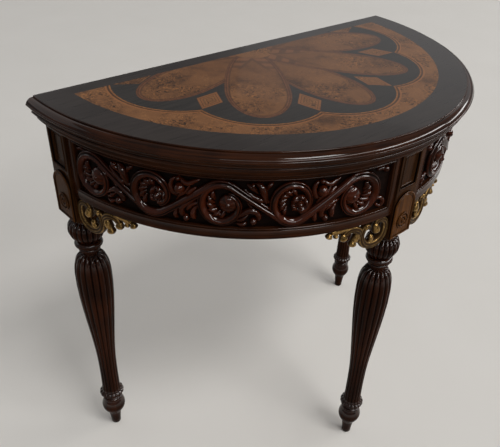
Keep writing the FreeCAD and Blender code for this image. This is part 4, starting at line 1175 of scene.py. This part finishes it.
CLUSTER_LEAVES = (
    (((2.5, -1.08), (2.18, -0.96), (1.88, -0.84), (1.66, -0.9), (1.5, -1.08)), (0.07, 0.14, 0.12)),
    (((1.3, -1.06), (1.08, -0.88), (1.02, -0.58), (1.18, -0.28), (1.46, -0.18)), (0.1, 0.16, 0.09)),
    (((2.3, -0.66), (2.06, -0.5), (1.86, -0.36), (1.68, -0.34)), (0.07, 0.14, 0.09)),
    (((2.24, -0.12), (1.94, 0.12), (1.68, 0.28), (1.52, 0.5), (1.55, 0.76), (1.72, 0.92)), (0.08, 0.17, 0.14)),
    (((2.3, 0.04), (2.02, 0.26), (1.84, 0.44), (1.8, 0.68)), (0.07, 0.13, 0.07)),
    (((2.36, 0.26), (2.16, 0.46), (2.1, 0.76), (2.2, 1.02)), (0.08, 0.17, 0.12)),
    (((1.34, 0.48), (1.2, 0.72), (1.2, 0.94), (1.32, 1.08)), (0.07, 0.14, 0.1)),
)
CLUSTER_BUDS = (((1.46, -0.56), 0.3), ((1.42, -1.04), 0.15), ((1.76, 0.94), 0.19))
# The vine: how far round the scroll it comes from its link starts, the bends of its volute (turn, first and last
# radius in shares of the scroll's), and shares of the stem's half width and rise by shares of its length.
LINK_LEAD = 40.0
VOLUTE_BENDS = ((165.0, 0.98, 0.86), (110.0, 0.68, 0.46))
VINE_WIDTHS = ((0.0, 0.7), (0.08, 1.25), (0.2, 1.1), (0.32, 1.1), (0.46, 1.25), (0.62, 1.2), (1.0, 0.9))
VINE_RISES = ((0.0, 0.6), (0.1, 0.95), (0.6, 1.0), (1.0, 0.85))
VINE_GROOVE = 0.42
# Ridges on both sides of a link: how far aside, places along it and shares of that, and half widths.
RIDGE_SIDES = (0.36, -0.36)
RIDGE_PLACES = ((-0.66, 0.35), (-0.2, 0.85), (0.25, 1.0), (0.62, 1.45))
RIDGE_HALVES = (0.05, 0.12, 0.06)
# Inside a volute, by angles about its middle and shares of its radius: the body and lobes of a leaf, and the boss.
LOBE_ANGLES = (136.0, 163.0, 190.0, 217.0, 244.0, 271.0)
LOBE_REACH = ((-12.0, 0.78), (2.0, 0.6), (24.0, 0.34))
LOBE_HALVES = (0.09, 0.135, 0.06)
BODY_REACH = 0.6
BODY_HALVES = (0.06, 0.15, 0.07)
BOSS_PLACE = (0.31, 0.02)
BOSS = 0.5
BOSS_PETALS = 5
BUTTON = 0.19


def scroll_parts(lay, number):
    """One scroll of the running vine, in its own plane: its link, its volute, a boss and a lobed leaf inside it.

    The link is a straight that touches the circles of this scroll and of the next one on opposite sides. It leans
    by the angle between their middles less the arcsine of their radii's sum over the gap, and it starts a little
    way round the next one. The leaves and buds after the link are left out on the last scroll.
    """
    own = np.array([0.0, -SCROLL_DROP])
    other = np.array([SCROLL_SPACING, SCROLL_DROP])
    gap = np.linalg.norm(other - own)
    lean = math.degrees(math.atan2(2.0 * SCROLL_DROP, SCROLL_SPACING) - math.asin(2.0 * SCROLL / gap))
    touch = lean + 90.0
    start = other + SCROLL * direction(touch + 180.0 + LINK_LEAD)
    run = math.sqrt(gap ** 2 - 4.0 * SCROLL ** 2)
    bends = [(-LINK_LEAD, SCROLL, SCROLL), (0.0, run), (180.0 - touch, SCROLL, SCROLL)]
    bends += [(turn, first * SCROLL, last * SCROLL) for turn, first, last in VOLUTE_BENDS]
    line = trail(start, touch + 90.0 + LINK_LEAD, bends, VINE_POINTS)
    t = np.linspace(0.0, 1.0, VINE_POINTS)
    ends = rounded_ends(VINE_POINTS, 0.03, 0.02)
    width = np.interp(t, *np.transpose(VINE_WIDTHS)) * STEM * ends
    rise = np.interp(t, *np.transpose(VINE_RISES)) * STEM_RISE * ends
    parts = [stem(line, width, rise, lay, ridges=2, groove=VINE_GROOVE)]
    boss = own + np.array(BOSS_PLACE) * SCROLL
    parts.append(bud(boss, BOSS * SCROLL, 1.05 * STEM_RISE, lay, petals=BOSS_PETALS * (number % 2)))
    parts.append(bud(boss, BUTTON * SCROLL, 1.25 * STEM_RISE, lay))
    body = drawn([own + BODY_REACH * SCROLL * direction(angle) for angle in LOBE_ANGLES], BODY_POINTS)
    size = SCROLL * swelling(BODY_POINTS, *BODY_HALVES) * rounded_ends(BODY_POINTS, 0.1, 0.1)
    parts.append(stem(body, size, 0.5 * STEM_RISE + 0.3 * size, lay, base=2.0 * SUNK, ridges=1))
    for angle in LOBE_ANGLES:
        knots = [own + reach * SCROLL * direction(angle + turn) for turn, reach in LOBE_REACH]
        parts.append(leaf(knots, LOBE_HALVES, lay, peak=0.4))
    if number == SCROLLS - 1:
        return parts
    middle = 0.5 * (own + other)
    along = SCROLL * direction(lean)
    across = SCROLL * direction(lean + 90.0)
    for side in RIDGE_SIDES:
        knots = [middle + along * far - across * side * out for far, out in RIDGE_PLACES]
        parts.append(leaf(knots, RIDGE_HALVES, lay))
    leaves, buds = (CLUSTER_LEAVES, CLUSTER_BUDS) if number % 2 else (HOOK_LEAVES, HOOK_BUDS)
    parts += [leaf(np.array(knots) * SCROLL, halves, lay) for knots, halves in leaves]
    for place, radius in buds:
        parts.append(bud(np.array(place) * SCROLL, radius * SCROLL, 0.45 * STEM_RISE + 0.9 * radius * SCROLL, lay))
    return parts


frieze = []
for number in range(SCROLLS):
    last = number == SCROLLS - 1
    hand = -1.0 if last else 1.0
    lift = -1.0 if number % 2 else 1.0
    outer = LAST_OUTER if last else SQUEEZE
    frieze += scroll_parts(frieze_lay(hand, lift, FIRST_SCROLL + number * SCROLL_PITCH, outer=outer), number)

# Sprigs in the corners of the recess, as shares of a scroll's radius from the nearest end and the middle height.
CORNER_SPRIGS = (
    (False, ((0.62, 0.92), (0.38, 1.06), (0.2, 1.02)), (0.05, 0.08, 0.06), 0.1),
    (False, ((0.72, -1.0), (0.42, -1.06), (0.22, -0.92)), (0.05, 0.08, 0.06), 0.1),
    (True, ((0.95, 1.02), (0.62, 1.08), (0.4, 1.0)), (0.08, 0.12, 0.08), 0.19),
    (True, ((1.0, -0.72), (0.7, -0.56), (0.4, -0.62), (0.26, -0.86), (0.42, -1.06), (0.62, -0.94)),
     (0.08, 0.13, 0.09), 0.1),
)
corner_lay = frieze_lay(squeeze=1.0)
for at_front, knots, halves, radius in CORNER_SPRIGS:
    knots = np.array(knots) * SCROLL
    if at_front:
        knots = knots * np.array([-1.0, 1.0]) + np.array([FRIEZE_LENGTH, 0.0])
    frieze.append(leaf(knots, halves, corner_lay))
    frieze.append(bud(knots[-1], radius * SCROLL, 1.0 + 1.4 * radius * SCROLL, corner_lay))
pair("{}_scroll_carving", frieze, CARVED_WOOD, "{}_frieze_carving")


# Gilt brackets as shares of the reach, out from the block and down from the apron: knots of each stem, its half
# widths (first, most, last) as shares of the stem's own, and its ridges; then the drops: foot, head and radius.
BRACKET_STEMS = (
    (((0.215, -0.1), (0.2, -0.045), (0.13, -0.04), (0.06, -0.09), (0.04, -0.19), (0.07, -0.3), (0.155, -0.375),
      (0.27, -0.39), (0.375, -0.35), (0.435, -0.26), (0.44, -0.16), (0.4, -0.09), (0.345, -0.095),
      (0.33, -0.14)), (0.8, 1.1, 0.85), 3),
    (((0.345, -0.37), (0.29, -0.345), (0.26, -0.3), (0.275, -0.265)), (0.5, 0.75, 0.7), 1),
    (((0.485, -0.3), (0.47, -0.2), (0.505, -0.105), (0.58, -0.06), (0.67, -0.07), (0.72, -0.12)),
     (0.7, 1.0, 0.85), 3),
    (((0.505, -0.13), (0.53, -0.2), (0.565, -0.255)), (0.7, 1.0, 0.9), 1),
    (((0.6, -0.045), (0.74, -0.025), (0.84, -0.03), (0.91, -0.05)), (0.5, 0.7, 0.6), 1),
    (((0.745, -0.06), (0.79, -0.04), (0.835, -0.065), (0.84, -0.1)), (0.45, 0.65, 0.6), 1),
)
BRACKET_DROPS = (
    ((0.235, -0.07), (0.19, -0.235), 0.064), ((0.275, -0.225), (0.28, -0.29), 0.044),
    ((0.355, -0.085), (0.425, -0.075), 0.05), ((0.56, -0.215), (0.585, -0.33), 0.058),
    ((0.735, -0.09), (0.715, -0.205), 0.056), ((0.92, -0.04), (0.95, -0.12), 0.05),
    ((0.845, -0.08), (0.835, -0.13), 0.036),
)


def bracket_lay(origin, way):
    """Bracket places onto the apron's middle curve: out along it from the block, up from the apron's foot."""
    def lay(u, v, h):
        return on_curve(BRACKET_RADIUS + h, origin + way * u / BRACKET_RADIUS, APRON_BASE + v)
    return lay


def bracket_parts(lay):
    """One gilt bracket: a C-scroll by the block, arches that run out from it, and drop-shaped buds."""
    parts = []
    for knots, halves, ridges in BRACKET_STEMS:
        line = drawn(np.array(knots) * BRACKET_REACH, BRACKET_POINTS)
        size = BRACKET_STEM * swelling(BRACKET_POINTS, *halves) * rounded_ends(BRACKET_POINTS, 0.05, 0.06)
        dull = GROOVE_DULL if ridges > 1 else 0.0
        parts.append(stem(line, size, BRACKET_STEEP * size, lay, base=0.0, ridges=ridges, under=0.9, dull=dull))
    for foot, head, radius in BRACKET_DROPS:
        line = drawn(np.array([foot, head]) * BRACKET_REACH, DROP_POINTS)
        size = swelling(DROP_POINTS, 0.55, 1.0, 1.0, 0.7) * rounded_ends(DROP_POINTS, 0.2, 0.45)
        size = BRACKET_REACH * radius * size
        parts.append(stem(line, size, BRACKET_STEEP * size, lay, base=1.0, ridges=1, under=0.9))
    return parts


for name, node, start, way in (
    ("{}_gilt_bracket", "{}_leg_bracket", -0.5 * math.pi + math.asin(JOINT_SET / BRACKET_RADIUS), 1.0),
    ("front_{}_gilt_bracket", "front_{}_bracket", -math.asin(BLOCK_HALF / BRACKET_RADIUS), -1.0),
):
    pair(name, bracket_parts(bracket_lay(start, way)), GILT, node)


# Stage: floor, lamps, world and camera. Lengths here are metres.

FLOOR_HALF = 7.0
floor_mesh = bpy.data.meshes.new("floor")
corner_signs = ((-1.0, -1.0), (1.0, -1.0), (1.0, 1.0), (-1.0, 1.0))
floor_mesh.from_pydata([(x * FLOOR_HALF, y * FLOOR_HALF, 0.0) for x, y in corner_signs], [], [(0, 1, 2, 3)])
floor_mesh.materials.append(floor_finish("floor_paint"))
floor = placed("floor", floor_mesh)


# Wide lamps far away: the turn each one stands at from the front, its climb, its width and height in degrees and
# the light that it gives.
LAMP_AWAY = 20.0
for name, turn, climb, spread, rise, strength in (
    ("front_lamp", 6.0, 34.0, 54.0, 7.0, 0.76),
    ("key_lamp", 50.0, 30.0, 44.0, 7.0, 1.2),
    ("side_lamp", 84.0, 20.0, 24.0, 6.0, 0.35),
    ("top_lamp", 5.0, 58.0, 20.0, 12.0, 1.05),
    ("left_lamp", -36.0, 32.0, 30.0, 5.0, 0.12),
    ("back_lamp", 196.0, 30.0, 62.0, 30.0, 0.3),
    ("sheen_lamp", 118.0, 20.0, 40.0, 12.0, 0.055),
):
    lamp = bpy.data.lights.new(name, "AREA")
    lamp.shape = "RECTANGLE"
    lamp.size = 2.0 * LAMP_AWAY * math.tan(math.radians(0.5 * spread))
    lamp.size_y = 2.0 * LAMP_AWAY * math.tan(math.radians(0.5 * rise))
    lamp.energy = strength * math.pi * LAMP_AWAY ** 2
    bearing = math.radians(turn)
    lift = math.radians(climb)
    stand = Vector((math.cos(lift) * math.sin(bearing), -math.cos(lift) * math.cos(bearing), math.sin(lift)))
    made = placed(name, lamp)
    made.location = stand * LAMP_AWAY
    made.rotation_euler = stand.to_track_quat("Z", "Y").to_euler()

# The world lights the table faintly, and the camera sees it as a pale wall.
studio = Finish("studio", bpy.data.worlds, "Background")
studio.set(Color=tint(236, 238, 242), Strength=0.17)
sky = Value(studio, studio.shader.outputs[0])
wall = studio.node("ShaderNodeBackground", inputs={"Color": tint(206, 204, 200), "Strength": 1.0})
seen = studio.node("ShaderNodeLightPath", output="Is Camera Ray")
choice = studio.node("ShaderNodeMixShader", inputs={0: seen, 1: sky, 2: wall})
studio.feed(studio.tree.nodes["World Output"].inputs["Surface"], choice)
bpy.context.scene.world = studio.material

turn = math.radians(CAMERA_TURN)
tilt = math.radians(CAMERA_TILT)
roll = math.radians(CAMERA_ROLL)
ahead = np.array([math.cos(tilt) * math.sin(turn), math.cos(tilt) * math.cos(turn), -math.sin(tilt)])
level = np.array([math.cos(turn), -math.sin(turn), 0.0])
drop = np.cross(ahead, level)
right = math.cos(roll) * level + math.sin(roll) * drop
down = -math.sin(roll) * level + math.cos(roll) * drop
lens = bpy.data.cameras.new("photo_camera")
lens.sensor_fit = "HORIZONTAL"
lens.sensor_width = SENSOR
lens.lens = SENSOR * FOCAL_PIXELS / PHOTO_SIZE[0]
lens.shift_x = (0.5 * PHOTO_SIZE[0] - MIDDLE_PIXEL[0]) / PHOTO_SIZE[0]
lens.shift_y = (MIDDLE_PIXEL[1] - 0.5 * PHOTO_SIZE[1]) / PHOTO_SIZE[0]
camera = placed("photo_camera", lens)
camera.matrix_world = Matrix(
    [[right[i], -down[i], -ahead[i], CAMERA_AT[i] / MM] for i in range(3)] + [[0.0, 0.0, 0.0, 1.0]]
)
bpy.context.scene.camera = camera
bpy.context.scene.view_settings.view_transform = "Standard"
